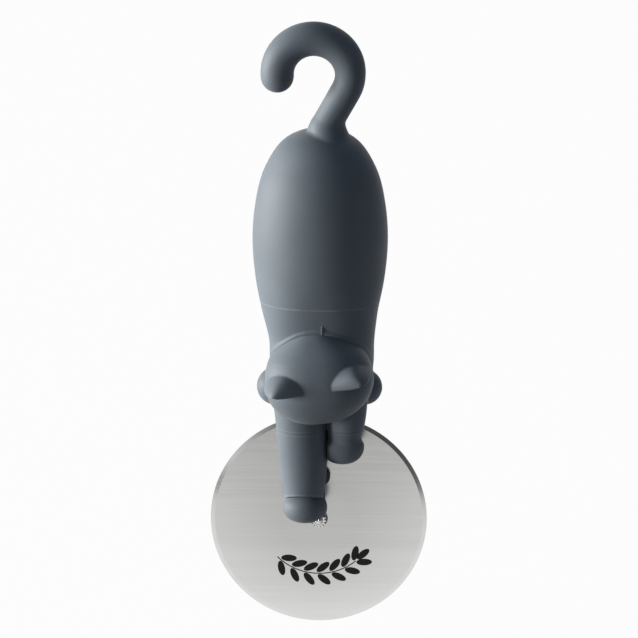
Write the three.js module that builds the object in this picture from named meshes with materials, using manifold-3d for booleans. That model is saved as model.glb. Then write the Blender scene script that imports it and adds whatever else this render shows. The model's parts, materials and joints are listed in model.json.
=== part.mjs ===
// A pizza cutter whose handle is a stretching cat: its tail is a hanging hook, its forelegs reach down the wheel.
// Millimetres, +Z up the handle, +X to the right and +Y away from the cat's back.
// Shapes are placed from the axle's centre line at X = 0, Z = 0; the whole group is then moved so that
// the origin lies where the tail hook bears on what it hangs from.

import * as THREE from 'three';
import { mergeVertices } from 'three/addons/utils/BufferGeometryUtils.js';
import Module from 'manifold-3d';

const wasm = await Module();
wasm.setup();

// Driving dimensions: fits
const GAP = 0.3;
const CLEARANCE = 0.15;
const RUNNING_CLEARANCE = 0.06;

// Driving dimensions: wheel, hub and axle, with the stack along Y
const WHEEL_RADIUS = 40;
const WHEEL_THICKNESS = 1.2;
const WHEEL_Y = 6;
const BEVEL_WIDTH = 1.5;
const EDGE_THICKNESS = 0.16;
const BUSH_RADIUS = 3.2;
const BUSH_OVERHANG = 0.1;
const FRONT_WASHER_RADIUS = 2.8;
const WASHER_PLAY = 0.05;
const REAR_WASHER_THICKNESS = 0.4;
const REAR_WASHER_RADIUS = 5;
const AXLE_RADIUS = 1.5;
const AXLE_HEAD_RADIUS = 4;
const AXLE_HEAD_HEIGHT = 2.2;
const AXLE_HEAD_RIM = 0.6;
const AXLE_STUB = 0.9;
const LOCK_CAP_RADIUS = 2.7;
const LOCK_CAP_DOME = 2.3;
const LOCK_CAP_HEIGHT = 1.7;
const LOCK_CAP_RIM = 0.5;
const BRACKET_FRONT = 2.9;
const BRACKET_BACK = 4.9;

// Driving dimensions: body, as half width and height up the handle from the tail's root to the chest
const BODY_OUTLINE = [
  [0, 152.4], [6.5, 151.6], [13.2, 148.3], [20.6, 137.6], [24.4, 122.6], [25.2, 112],
  [23.9, 94.6], [21.4, 82], [19.6, 71.5], [19.2, 62], [17.4, 53], [10.5, 45.6], [0, 43.6],
];
const BODY_DEPTH = 0.9;
const BODY_WALL = 3.6;
const SEAM_Z = 87;
const SEAM_TILT = -4.5;
const CHEST_SHIFT = { x: 1.2, from: 86, to: 70 };
const CAVITY_TOP = 143;
const CAVITY_BOTTOM = 51;

// Driving dimensions: tail hook, an arc that runs down into a straight root
const HOOK_CENTRE = { x: -2.75, z: 173.8 };
const HOOK_RADIUS = 13.5;
const HOOK_TIP_ANGLE = 182;
const TAIL_LEAN = -25;
const TAIL_ROOT_LENGTH = 19.5;
const TAIL_RADIUS = { root: 5.4, rise: 5.9, top: 6.4, tip: 6.1 };

// Driving dimensions: head, ears and elbows
const HEAD = { x: 0.5, y: -14, z: 59.4, halfWidth: 20.2, halfDepth: 18, halfHeight: 16.7, roll: -7.5 };
const CROWN_STRETCH = 1.22;
const EAR_BASE = { x: 11.4, y: -9.8, z: 1.6 };
const EAR_TIP = { x: 15.4, y: -19.4, z: 2.2 };
const EAR_RIM_TURN = 38;
const EAR_HALF_WIDTH = 9.2;
const EAR_HALF_HEIGHT = 7.6;
const EAR_FRONT_Z = 0.6;
const EAR_TAPER = 1.4;
const EAR_TIP_SHARE = 0.015;
const ELBOWS = [
  { x: -16, y: 2, z: 52.8, radius: 7 },
  { x: 16.6, y: 2, z: 52, radius: 6.5 },
];

// Driving dimensions: forelegs, elliptical in section with a flat back against the bracket
const LEG_Y = -5.5;
const LEG_BACK = BRACKET_FRONT - GAP;
const LEG_SEAM_Z = 38.4;
const LONG_LEG = {
  stub: { x: -7.4, z: 54, halfWidth: 9.6, halfDepth: 8.6 },
  seam: { x: -6.65, z: LEG_SEAM_Z, halfWidth: 8.95, halfDepth: 8.1 },
  foot: { x: -5.1, z: 12.6, halfWidth: 7.55, halfDepth: 7.4 },
};
const SHORT_LEG = {
  stub: { x: 10.3, z: 54, halfWidth: 8.3, halfDepth: 8.6 },
  seam: { x: 9.9, z: LEG_SEAM_Z, halfWidth: 6.75, halfDepth: 8 },
  foot: { x: 9.8, z: 34, halfWidth: 6.6, halfDepth: 7.9 },
};
const LONG_PAW = { x: -4.8, z: 10, halfWidth: 8.35, halfDepth: 8, halfHeight: 8, power: 2.5 };
const SHORT_PAW = { x: 9.75, z: 32.3, halfWidth: 7, halfDepth: 8.1, halfHeight: 7.9, power: 2.2 };

// Driving dimensions: bracket, core and fasteners
const TANG_HALF_WIDTH = 7;
const TANG_TOP = 97;
const BRACKET_END_RADIUS = 2.9;
const BRACKET_LOBE = { x: 0.8, z: 16.8, radius: 3.4 };
const BRACKET_EDGE = { right: [2, 25], shoulder: 42, left: [[-10.5, 34], [-9, 8]] };
const COUNTERSINK_DEPTH = 1.6;
const CORE_RADIUS = 11;
const CORE_BOTTOM = 53;
const CORE_TOP = 112;
const CORE_FRONT_DISC = { z: 78, radius: 15.4 };
const CORE_REAR_DISC = { z: 93, radius: 18.6 };
const CORE_DISC_HEIGHT = 6;
const SCREW_RADIUS = 1.5;
const SCREW_HEAD_RADIUS = 2.8;
const SCREW_HEAD_HEIGHT = 1.3;
const TANG_SCREW_Z = { low: 66, high: 85.5 };
const TANG_SCREW_SEAT = 7.4;
const TANG_SCREW_TIP = -6;
const BELLY_SCREW_TIP = 7.6;
const PLUG_RADIUS = 3.3;
const PLUG_THICKNESS = 1;
const HEAD_SCREW = { z: 64, seat: -13.4, tip: -26 };
const LEG_SCREW = { x: -6, z: 27 };
const PAW_SCREW = { x: -4.8, z: 10 };
const LEG_SCREW_TIP = -4;
const DOWEL = { x: 9.8, bottom: 33, top: 45, radius: 2.5 };

// Facet counts and sizes that only have to be large enough
const BODY_SIDES = 36;
const CAVITY_SIDES = 20;
const ROUND_SIDES = 28;
const LEG_SIDES = 24;
const TAIL_SIDES = 16;
const TAIL_STEPS = 22;
const ELBOW_SIDES = 20;
const PAW_STEPS = 9;
const PAW_REACH = 86;
const EAR_STEPS = 6;
const FINE_SIDES = 72;
const SMALL_SIDES = 14;
const PROFILE_STEPS = 22;
const CAVITY_STEPS = 10;
const FAR = 200;
const MERGE_DISTANCE = 1e-4;

const radians = THREE.MathUtils.degToRad;

// Solids: a closed three.js geometry as a body that can be joined and cut, and back again
function solid(geometry) {
  const bare = geometry.clone();
  bare.deleteAttribute('normal');
  bare.deleteAttribute('uv');
  const merged = mergeVertices(bare, MERGE_DISTANCE);
  const corners = merged.index.array;
  const triangles = [];
  for (let i = 0; i < corners.length; i += 3) {
    const [a, b, c] = corners.slice(i, i + 3);
    const isFlat = a === b || b === c || c === a;
    if (!isFlat) triangles.push(a, b, c);
  }
  return new wasm.Manifold(new wasm.Mesh({
    numProp: 3,
    vertProperties: new Float32Array(merged.attributes.position.array),
    triVerts: new Uint32Array(triangles),
  }));
}

function geometryOf(body) {
  const mesh = body.getMesh();
  const geometry = new THREE.BufferGeometry();
  geometry.setAttribute('position', new THREE.BufferAttribute(new Float32Array(mesh.vertProperties), 3));
  geometry.setIndex(new THREE.BufferAttribute(new Uint32Array(mesh.triVerts), 1));
  geometry.computeVertexNormals();
  return geometry;
}

// Basic solids, each at its place
function box(low, high) {
  const size = high.clone().sub(low);
  const middle = low.clone().add(high).multiplyScalar(0.5);
  return solid(new THREE.BoxGeometry(size.x, size.y, size.z).translate(middle.x, middle.y, middle.z));
}

function ellipsoid(centre, halfWidth, halfDepth, halfHeight, sides) {
  const geometry = new THREE.SphereGeometry(1, sides, Math.round(sides / 2));
  return solid(geometry.scale(halfWidth, halfDepth, halfHeight).translate(centre.x, centre.y, centre.z));
}

// A solid of revolution about a line along Y; the outline lists radius and Y, from the front back
function turnedAboutY(outline, x, z, sides) {
  const points = outline.map(([radius, y]) => new THREE.Vector2(radius, y));
  return solid(new THREE.LatheGeometry(points, sides).translate(x, 0, z));
}

// A solid of revolution about a line along Z; the outline lists radius and Z, from the bottom up
function turnedAboutZ(outline, x, y, sides) {
  const points = outline.map(([radius, z]) => new THREE.Vector2(radius, z));
  return solid(new THREE.LatheGeometry(points, sides).rotateX(Math.PI / 2).translate(x, y, 0));
}

function rodAlongY(x, z, radius, front, back) {
  return turnedAboutY([[0, front], [radius, front], [radius, back], [0, back]], x, z, SMALL_SIDES);
}

function ringAlongY(inner, outer, front, back) {
  const outline = [[inner, front], [outer, front], [outer, back], [inner, back], [inner, front]];
  return turnedAboutY(outline, 0, 0, ROUND_SIDES);
}

// Joins rings of equal count, each above the last, into a closed skin with flat ends
function skin(rings) {
  const sides = rings[0].length;
  const last = (rings.length - 1) * sides;
  const triangles = [];
  for (let ring = 0; ring < last; ring += sides) {
    for (let side = 0; side < sides; side += 1) {
      const a = ring + side;
      const b = ring + (side + 1) % sides;
      triangles.push(a, b, b + sides, a, b + sides, a + sides);
    }
  }
  for (let side = 1; side < sides - 1; side += 1) {
    triangles.push(0, side + 1, side);
    triangles.push(last, last + side, last + side + 1);
  }
  const geometry = new THREE.BufferGeometry().setFromPoints(rings.flat());
  geometry.setIndex(triangles);
  return solid(geometry);
}

// A ring round a centre, spanned by two half axes
function ring(centre, across, along, sides) {
  return Array.from({ length: sides }, (_, side) => {
    const angle = (2 * Math.PI * side) / sides;
    return centre.clone().addScaledVector(across, Math.cos(angle)).addScaledVector(along, Math.sin(angle));
  });
}

function levelRing({ x, z, halfWidth, halfDepth }, grow = 0) {
  const across = new THREE.Vector3(halfWidth + grow, 0, 0);
  const along = new THREE.Vector3(0, halfDepth + grow, 0);
  return ring(new THREE.Vector3(x, LEG_Y, z), across, along, LEG_SIDES);
}

// Everything above or below a height, or behind a depth, as a block to cut with
const above = (z) => box(new THREE.Vector3(-FAR, -FAR, z), new THREE.Vector3(FAR, FAR, FAR));
const below = (z) => box(new THREE.Vector3(-FAR, -FAR, -FAR), new THREE.Vector3(FAR, FAR, z));
const behind = (y) => box(new THREE.Vector3(-FAR, y, -FAR), new THREE.Vector3(FAR, FAR, FAR));

// Everything above (1) or below (-1) the tilted seam between the body's halves, less half the seam's gap
function seamBlock(side) {
  const block = new THREE.BoxGeometry(2 * FAR, 2 * FAR, 2 * FAR).translate(0, 0, side * FAR);
  return solid(block.rotateX(radians(SEAM_TILT)).translate(0, 0, SEAM_Z - side * GAP / 2));
}

// Body: one spline outline, turned about the handle and flattened from back to belly
const bodySpline = new THREE.SplineCurve(BODY_OUTLINE.map(([r, z]) => new THREE.Vector2(r, z)));

function bodySolid(grow, sides, steps) {
  const outline = bodySpline.getSpacedPoints(steps).reverse().map(({ x, y }) => [x, y]);
  const grown = outline.map(([r, z], i) => {
    const isEnd = i === 0 || i === outline.length - 1;
    return [isEnd ? 0 : Math.max(GAP, r + grow), z];
  });
  const geometry = geometryOf(turnedAboutZ(grown, 0, 0, sides)).scale(1, BODY_DEPTH, 1);
  const points = geometry.attributes.position;
  for (let i = 0; i < points.count; i += 1) {
    const sway = 1 - THREE.MathUtils.smoothstep(points.getZ(i), CHEST_SHIFT.to, CHEST_SHIFT.from);
    points.setX(i, points.getX(i) + CHEST_SHIFT.x * sway);
  }
  return solid(geometry);
}

function bodyHalfWidth(z) {
  const points = bodySpline.getSpacedPoints(PROFILE_STEPS);
  const upper = points.findIndex((point) => point.y <= z);
  const [high, low] = [points[upper - 1], points[upper]];
  return THREE.MathUtils.mapLinear(z, low.y, high.y, low.x, high.x);
}

const bodyOuter = bodySolid(0, BODY_SIDES, PROFILE_STEPS);
const cavity = bodySolid(-BODY_WALL, CAVITY_SIDES, CAVITY_STEPS)
  .subtract(above(CAVITY_TOP)).subtract(below(CAVITY_BOTTOM));

// Belly screws: seats in the belly wall for a screw head under a plug
const bellySeats = {
  front: { z: CORE_FRONT_DISC.z, wall: BODY_DEPTH * bodyHalfWidth(CORE_FRONT_DISC.z) },
  rear: { z: CORE_REAR_DISC.z, wall: BODY_DEPTH * bodyHalfWidth(CORE_REAR_DISC.z) },
};
const PLUG_RECESS = PLUG_THICKNESS + SCREW_HEAD_HEIGHT + 2 * CLEARANCE;

function bellyHole({ z, wall }) {
  const bore = rodAlongY(0, z, SCREW_RADIUS + CLEARANCE, BELLY_SCREW_TIP - GAP, FAR);
  return bore.add(rodAlongY(0, z, PLUG_RADIUS + CLEARANCE, wall - PLUG_RECESS - CLEARANCE, FAR));
}

function bellyScrew({ z, wall }) {
  const seat = wall - PLUG_RECESS;
  const outline = [
    [0, BELLY_SCREW_TIP], [SCREW_RADIUS, BELLY_SCREW_TIP], [SCREW_RADIUS, seat],
    [SCREW_HEAD_RADIUS, seat], [SCREW_HEAD_RADIUS, seat + SCREW_HEAD_HEIGHT], [0, seat + SCREW_HEAD_HEIGHT],
  ];
  return turnedAboutY(outline, 0, z, SMALL_SIDES);
}

function bellyPlug({ z, wall }) {
  const blank = rodAlongY(0, z, PLUG_RADIUS, wall - PLUG_THICKNESS, FAR);
  return blank.intersect(bodyOuter);
}

// Tail: rings on the hook's arc, then down a straight root that leaves the arc at its tangent
function tailSolid() {
  const lean = radians(TAIL_LEAN);
  const tipAngle = radians(HOOK_TIP_ANGLE);
  const onArc = (angle) => new THREE.Vector3(
    HOOK_CENTRE.x + HOOK_RADIUS * Math.cos(angle), 0, HOOK_CENTRE.z + HOOK_RADIUS * Math.sin(angle));
  const tailRing = (centre, angle, radius) => {
    const across = new THREE.Vector3(radius * Math.cos(angle), 0, radius * Math.sin(angle));
    return ring(centre, across, new THREE.Vector3(0, radius, 0), TAIL_SIDES);
  };
  const downRoot = new THREE.Vector3(Math.sin(lean), 0, -Math.cos(lean));
  const rings = [tailRing(onArc(lean).addScaledVector(downRoot, TAIL_ROOT_LENGTH), lean, TAIL_RADIUS.root)];
  for (let step = 0; step <= TAIL_STEPS; step += 1) {
    const angle = THREE.MathUtils.lerp(lean, tipAngle, step / TAIL_STEPS);
    const rise = Math.max(0, Math.sin(angle));
    const limb = angle < Math.PI / 2 ? TAIL_RADIUS.rise : TAIL_RADIUS.tip;
    rings.push(tailRing(onArc(angle), angle, THREE.MathUtils.lerp(limb, TAIL_RADIUS.top, rise)));
  }
  const tip = ellipsoid(onArc(tipAngle), TAIL_RADIUS.tip, TAIL_RADIUS.tip, TAIL_RADIUS.tip, TAIL_SIDES);
  return skin(rings).add(tip);
}

function rearBody() {
  const whole = bodyOuter.subtract(seamBlock(-1)).add(tailSolid());
  return whole.subtract(cavity).subtract(bellyHole(bellySeats.rear));
}

// Legs: a stub on the chest, a lower leg below the seam, and paws as rounded bulbs
function legStub(leg, grow = 0) {
  return skin([levelRing({ ...leg.seam, z: LEG_SEAM_Z + GAP / 2 - grow }, grow), levelRing(leg.stub, grow)]);
}

function lowerLeg(leg, grow = 0) {
  const top = { ...leg.seam, z: LEG_SEAM_Z - GAP / 2 };
  return skin([levelRing(leg.foot, grow), levelRing(top, grow)]);
}

function pawBulb({ x, z, halfWidth, halfDepth, halfHeight, power }) {
  const reach = radians(PAW_REACH);
  const rings = Array.from({ length: PAW_STEPS + 1 }, (_, step) => {
    const height = Math.sin(THREE.MathUtils.lerp(-reach, reach, step / PAW_STEPS));
    const share = (1 - Math.abs(height) ** power) ** (1 / power);
    const level = { x, z: z + halfHeight * height, halfWidth: halfWidth * share, halfDepth: halfDepth * share };
    return levelRing(level);
  });
  return skin(rings);
}

function elbow({ x, y, z, radius }, grow = 0) {
  const grown = radius + grow;
  return ellipsoid(new THREE.Vector3(x, y, z), grown, grown, grown, ELBOW_SIDES);
}

// The chest's outer form, which the head is also cut to sit against
function chestForm(grow) {
  let chest = bodySolid(grow, BODY_SIDES, PROFILE_STEPS).subtract(seamBlock(1));
  ELBOWS.forEach((place) => {
    chest = chest.add(elbow(place, grow));
  });
  [LONG_LEG, SHORT_LEG].forEach((leg) => {
    chest = chest.add(legStub(leg, grow).subtract(behind(LEG_BACK + grow)));
  });
  return chest;
}

const dowelHole = turnedAboutZ(
  [
    [0, DOWEL.bottom - GAP], [DOWEL.radius + CLEARANCE, DOWEL.bottom - GAP],
    [DOWEL.radius + CLEARANCE, DOWEL.top + GAP], [0, DOWEL.top + GAP],
  ],
  DOWEL.x, LEG_Y, SMALL_SIDES);

const headScrewHole = rodAlongY(
  HEAD.x, HEAD_SCREW.z, SCREW_RADIUS + CLEARANCE, HEAD_SCREW.tip - GAP, HEAD_SCREW.seat + GAP);

function frontBody() {
  const tangSlot = box(
    new THREE.Vector3(-TANG_HALF_WIDTH - GAP, BRACKET_FRONT - GAP, CORE_BOTTOM - FAR),
    new THREE.Vector3(TANG_HALF_WIDTH + GAP, BRACKET_BACK + GAP, CORE_BOTTOM));
  return chestForm(0).subtract(cavity).subtract(tangSlot).subtract(headScrewHole)
    .subtract(dowelHole).subtract(bellyHole(bellySeats.front));
}

// Leg screws sit flush in the back of the bracket, clear of the wheel
function countersunk({ x, z }, grow) {
  const back = BRACKET_BACK - CLEARANCE + grow;
  const neck = BRACKET_BACK - COUNTERSINK_DEPTH;
  const outline = [
    [0, LEG_SCREW_TIP - grow], [SCREW_RADIUS + grow, LEG_SCREW_TIP - grow], [SCREW_RADIUS + grow, neck],
    [SCREW_HEAD_RADIUS + grow, back], [0, back],
  ];
  return turnedAboutY(outline, x, z, SMALL_SIDES);
}

function longLeg() {
  return lowerLeg(LONG_LEG).subtract(behind(LEG_BACK)).subtract(countersunk(LEG_SCREW, CLEARANCE));
}

function longPaw() {
  return pawBulb(LONG_PAW).subtract(behind(LEG_BACK)).subtract(lowerLeg(LONG_LEG, GAP))
    .subtract(countersunk(PAW_SCREW, CLEARANCE));
}

function shortPaw() {
  const lower = lowerLeg(SHORT_LEG);
  const bulb = pawBulb(SHORT_PAW).subtract(above(LEG_SEAM_Z - GAP / 2));
  return lower.add(bulb).subtract(behind(LEG_BACK)).subtract(dowelHole);
}

// Head: a rolled ellipsoid with two ears, hollowed by the chest that it sits on
function ear(side) {
  const base = new THREE.Vector3(side * EAR_BASE.x, EAR_BASE.y, EAR_BASE.z);
  const tip = new THREE.Vector3(side * EAR_TIP.x, EAR_TIP.y, EAR_TIP.z);
  const turn = radians(side * EAR_RIM_TURN);
  const rimWay = new THREE.Vector3(Math.cos(turn), Math.sin(turn), 0);
  const rings = Array.from({ length: EAR_STEPS + 1 }, (_, step) => {
    const along = step / EAR_STEPS;
    const share = Math.sqrt(Math.max(EAR_TIP_SHARE, 1 - along ** EAR_TAPER));
    const across = rimWay.clone().multiplyScalar(EAR_HALF_WIDTH * share);
    const height = new THREE.Vector3(0, 0, EAR_HALF_HEIGHT * share);
    return ring(base.clone().lerp(tip, along), across, height, SMALL_SIDES);
  });
  return skin(rings).subtract(below(EAR_FRONT_Z));
}

function headSolid() {
  const skull = new THREE.SphereGeometry(1, ROUND_SIDES, ROUND_SIDES / 2).rotateX(Math.PI / 2);
  skull.scale(HEAD.halfWidth, HEAD.halfDepth, HEAD.halfHeight);
  const points = skull.attributes.position;
  for (let i = 0; i < points.count; i += 1) {
    const isCrown = points.getZ(i) > 0;
    if (isCrown) points.setZ(i, points.getZ(i) * CROWN_STRETCH);
  }
  const level = geometryOf(solid(skull).add(ear(-1)).add(ear(1)));
  const placed = solid(level.rotateY(radians(HEAD.roll)).translate(HEAD.x, HEAD.y, HEAD.z));
  return placed.subtract(chestForm(GAP)).subtract(headScrewHole);
}

// A pan head screw along Y with its head at the end named first
function panScrew(x, z, seat, tip) {
  const way = Math.sign(seat - tip);
  const top = seat + way * SCREW_HEAD_HEIGHT;
  const outline = [
    [0, tip], [SCREW_RADIUS, tip], [SCREW_RADIUS, seat],
    [SCREW_HEAD_RADIUS, seat], [SCREW_HEAD_RADIUS, top], [0, top],
  ];
  return turnedAboutY(outline, x, z, SMALL_SIDES);
}

// Bracket: a plate from the core down to the axle, with a lobe beside the long leg
function bracketSolid() {
  const shape = new THREE.Shape();
  const lobe = BRACKET_LOBE;
  shape.absarc(0, 0, BRACKET_END_RADIUS, radians(195), radians(370), false);
  shape.absarc(lobe.x, lobe.z, lobe.radius, radians(-65), radians(65), false);
  const corners = [
    BRACKET_EDGE.right, [TANG_HALF_WIDTH, BRACKET_EDGE.shoulder], [TANG_HALF_WIDTH, TANG_TOP],
    [-TANG_HALF_WIDTH, TANG_TOP], [-TANG_HALF_WIDTH, BRACKET_EDGE.shoulder], ...BRACKET_EDGE.left,
  ];
  corners.forEach(([x, z]) => shape.lineTo(x, z));
  shape.closePath();
  const options = { depth: BRACKET_BACK - BRACKET_FRONT, bevelEnabled: false, curveSegments: SMALL_SIDES };
  const plate = new THREE.ExtrudeGeometry(shape, options).rotateX(Math.PI / 2).translate(0, BRACKET_BACK, 0);
  let bracket = solid(plate);
  bracket = bracket.subtract(rodAlongY(0, 0, AXLE_RADIUS + CLEARANCE, -FAR, FAR));
  Object.values(TANG_SCREW_Z).forEach((z) => {
    bracket = bracket.subtract(rodAlongY(0, z, SCREW_RADIUS + CLEARANCE, -FAR, FAR));
  });
  return bracket.subtract(countersunk(LEG_SCREW, CLEARANCE)).subtract(countersunk(PAW_SCREW, CLEARANCE));
}

// Core: a stem with two discs, slotted for the tang and drilled for the screws
function coreSolid() {
  const outline = [[0, CORE_BOTTOM], [CORE_RADIUS, CORE_BOTTOM]];
  [CORE_FRONT_DISC, CORE_REAR_DISC].forEach(({ z, radius }) => {
    const [low, high] = [z - CORE_DISC_HEIGHT / 2, z + CORE_DISC_HEIGHT / 2];
    outline.push([CORE_RADIUS, low], [radius, low], [radius, high], [CORE_RADIUS, high]);
  });
  outline.push([CORE_RADIUS, CORE_TOP], [0, CORE_TOP]);
  const stem = geometryOf(turnedAboutZ(outline, 0, 0, ROUND_SIDES)).scale(1, BODY_DEPTH, 1);
  const slot = box(
    new THREE.Vector3(-TANG_HALF_WIDTH - GAP, BRACKET_FRONT - GAP, -FAR),
    new THREE.Vector3(TANG_HALF_WIDTH + GAP, BRACKET_BACK + GAP, TANG_TOP + GAP));
  let core = solid(stem).subtract(slot);
  Object.values(TANG_SCREW_Z).forEach((z) => {
    core = core.subtract(rodAlongY(0, z, SCREW_RADIUS + CLEARANCE, TANG_SCREW_TIP - GAP, FAR));
    core = core.subtract(rodAlongY(0, z, SCREW_HEAD_RADIUS + CLEARANCE, TANG_SCREW_SEAT - CLEARANCE, FAR));
  });
  return core.subtract(bellyHole(bellySeats.front)).subtract(bellyHole(bellySeats.rear));
}

// Wheel, hub and axle, stacked along Y from the front face of the wheel backwards
const wheelFront = WHEEL_Y - WHEEL_THICKNESS / 2;
const wheelBack = WHEEL_Y + WHEEL_THICKNESS / 2;
const bushFront = wheelFront - BUSH_OVERHANG;
const bushBack = wheelBack + BUSH_OVERHANG;
const washerBore = AXLE_RADIUS + CLEARANCE;
const frontWasherFront = BRACKET_BACK + WASHER_PLAY;
const frontWasherBack = bushFront - WASHER_PLAY;
const rearWasherFront = bushBack + CLEARANCE;
const rearWasherBack = rearWasherFront + REAR_WASHER_THICKNESS;
const axleHeadFront = rearWasherBack + CLEARANCE;
const axleEnd = BRACKET_FRONT - AXLE_STUB;

function wheelSolid() {
  const flat = WHEEL_RADIUS - BEVEL_WIDTH;
  const hole = BUSH_RADIUS + CLEARANCE;
  const outline = [
    [hole, wheelFront], [flat, wheelFront], [WHEEL_RADIUS, WHEEL_Y - EDGE_THICKNESS / 2],
    [WHEEL_RADIUS, WHEEL_Y + EDGE_THICKNESS / 2], [flat, wheelBack], [hole, wheelBack], [hole, wheelFront],
  ];
  return turnedAboutY(outline, 0, 0, FINE_SIDES);
}

function axleSolid() {
  const crown = [0, 20, 40, 60, 80].map((degrees) => [
    AXLE_HEAD_RADIUS * Math.cos(radians(degrees)),
    axleHeadFront + AXLE_HEAD_RIM + (AXLE_HEAD_HEIGHT - AXLE_HEAD_RIM) * Math.sin(radians(degrees)),
  ]);
  const outline = [
    [0, axleEnd], [AXLE_RADIUS, axleEnd], [AXLE_RADIUS, axleHeadFront], [AXLE_HEAD_RADIUS, axleHeadFront],
    ...crown, [0, axleHeadFront + AXLE_HEAD_HEIGHT],
  ];
  return turnedAboutY(outline, 0, 0, ROUND_SIDES);
}

function lockCapSolid() {
  const back = BRACKET_FRONT - CLEARANCE;
  const front = back - LOCK_CAP_HEIGHT;
  const bore = AXLE_RADIUS + CLEARANCE;
  const dome = [25, 50, 75].map((degrees) => [
    LOCK_CAP_DOME * Math.sin(radians(degrees)),
    front + (LOCK_CAP_HEIGHT - LOCK_CAP_RIM) * (1 - Math.cos(radians(degrees))),
  ]);
  const outline = [
    [0, front], ...dome, [LOCK_CAP_RADIUS, back - LOCK_CAP_RIM], [LOCK_CAP_RADIUS, back], [bore, back],
    [bore, axleEnd - CLEARANCE], [0, axleEnd - CLEARANCE],
  ];
  return turnedAboutY(outline, 0, 0, SMALL_SIDES);
}

// Finishes
const finishes = {
  grey: { color: 0x4d535b, roughness: 0.55, metalness: 0 },
  steel: { color: 0xc4c3c0, roughness: 0.32, metalness: 1 },
  black: { color: 0x1b1c1e, roughness: 0.45, metalness: 0.3 },
  chrome: { color: 0xdadcde, roughness: 0.12, metalness: 1 },
  zinc: { color: 0x9a9c9e, roughness: 0.4, metalness: 1 },
  nylon: { color: 0xd9d8d2, roughness: 0.6, metalness: 0 },
};

// Assembly
const cutter = new THREE.Group();
const hookBearingZ = HOOK_CENTRE.z + HOOK_RADIUS - TAIL_RADIUS.top;
cutter.position.set(-HOOK_CENTRE.x, 0, -hookBearingZ);

function addPiece(name, body, finish) {
  const mesh = new THREE.Mesh(geometryOf(body), new THREE.MeshStandardMaterial(finishes[finish]));
  mesh.name = name;
  cutter.add(mesh);
}

addPiece('rear_body', rearBody(), 'grey');
addPiece('front_body', frontBody(), 'grey');
addPiece('head', headSolid(), 'grey');
addPiece('long_leg', longLeg(), 'grey');
addPiece('long_paw', longPaw(), 'grey');
addPiece('short_paw', shortPaw(), 'grey');
addPiece('cutting_wheel', wheelSolid(), 'steel');
addPiece('wheel_bush', ringAlongY(AXLE_RADIUS + RUNNING_CLEARANCE, BUSH_RADIUS, bushFront, bushBack), 'nylon');
const frontWasher = ringAlongY(washerBore, FRONT_WASHER_RADIUS, frontWasherFront, frontWasherBack);
const rearWasher = ringAlongY(washerBore, REAR_WASHER_RADIUS, rearWasherFront, rearWasherBack);
addPiece('front_washer', frontWasher, 'nylon');
addPiece('rear_washer', rearWasher, 'nylon');
addPiece('axle', axleSolid(), 'chrome');
addPiece('lock_cap', lockCapSolid(), 'chrome');
addPiece('wheel_bracket', bracketSolid(), 'black');
addPiece('body_core', coreSolid(), 'nylon');
Object.entries(TANG_SCREW_Z).forEach(([level, z]) => {
  addPiece(`tang_screw_${level}`, panScrew(0, z, TANG_SCREW_SEAT, TANG_SCREW_TIP), 'zinc');
});
Object.entries(bellySeats).forEach(([end, seat]) => {
  addPiece(`belly_screw_${end}`, bellyScrew(seat), 'zinc');
  addPiece(`belly_plug_${end}`, bellyPlug(seat), 'grey');
});
addPiece('head_screw', panScrew(HEAD.x, HEAD_SCREW.z, HEAD_SCREW.seat, HEAD_SCREW.tip), 'zinc');
addPiece('leg_screw', countersunk(LEG_SCREW, 0), 'zinc');
addPiece('paw_screw', countersunk(PAW_SCREW, 0), 'zinc');
addPiece('paw_dowel', turnedAboutZ(
  [[0, DOWEL.bottom], [DOWEL.radius, DOWEL.bottom], [DOWEL.radius, DOWEL.top], [0, DOWEL.top]],
  DOWEL.x, LEG_Y, SMALL_SIDES), 'nylon');

export default cutter;
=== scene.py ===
import json
import math

import bmesh
import bpy
from mathutils import Matrix, Vector
from mathutils.kdtree import KDTree


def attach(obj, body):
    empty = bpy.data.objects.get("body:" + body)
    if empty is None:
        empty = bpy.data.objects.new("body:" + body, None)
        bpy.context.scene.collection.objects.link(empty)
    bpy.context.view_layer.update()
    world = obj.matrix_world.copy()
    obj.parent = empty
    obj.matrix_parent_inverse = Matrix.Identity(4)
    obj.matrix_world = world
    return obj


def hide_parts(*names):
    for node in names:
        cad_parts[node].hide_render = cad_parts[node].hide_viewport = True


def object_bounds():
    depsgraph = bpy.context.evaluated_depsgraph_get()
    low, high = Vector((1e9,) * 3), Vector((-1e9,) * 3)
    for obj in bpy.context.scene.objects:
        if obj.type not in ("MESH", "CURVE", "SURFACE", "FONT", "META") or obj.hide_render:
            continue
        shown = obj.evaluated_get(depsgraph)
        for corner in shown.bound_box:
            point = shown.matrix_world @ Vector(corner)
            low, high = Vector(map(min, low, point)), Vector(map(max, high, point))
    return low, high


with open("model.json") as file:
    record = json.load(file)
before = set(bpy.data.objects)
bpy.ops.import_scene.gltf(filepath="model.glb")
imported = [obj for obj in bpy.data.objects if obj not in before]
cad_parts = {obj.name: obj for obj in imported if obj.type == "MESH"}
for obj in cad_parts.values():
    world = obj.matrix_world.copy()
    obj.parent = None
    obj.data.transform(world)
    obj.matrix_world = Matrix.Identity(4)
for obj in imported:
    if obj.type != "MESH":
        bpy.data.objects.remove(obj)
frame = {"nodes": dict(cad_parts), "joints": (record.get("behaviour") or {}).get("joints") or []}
cad_low, cad_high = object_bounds()

# The axle's centre, which every place below is measured from, in metres
wheel_joint = next(joint for joint in frame["joints"] if joint["name"] == "wheel_spin")
AXLE = Vector(wheel_joint["pos_m"])

# Directions, and the turn that lays a form along Y
UP = Vector((0, 0, 1))
BACKWARDS = Vector((0, 1, 0))
ALONG_Y = (math.pi / 2, 0, 0)

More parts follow.
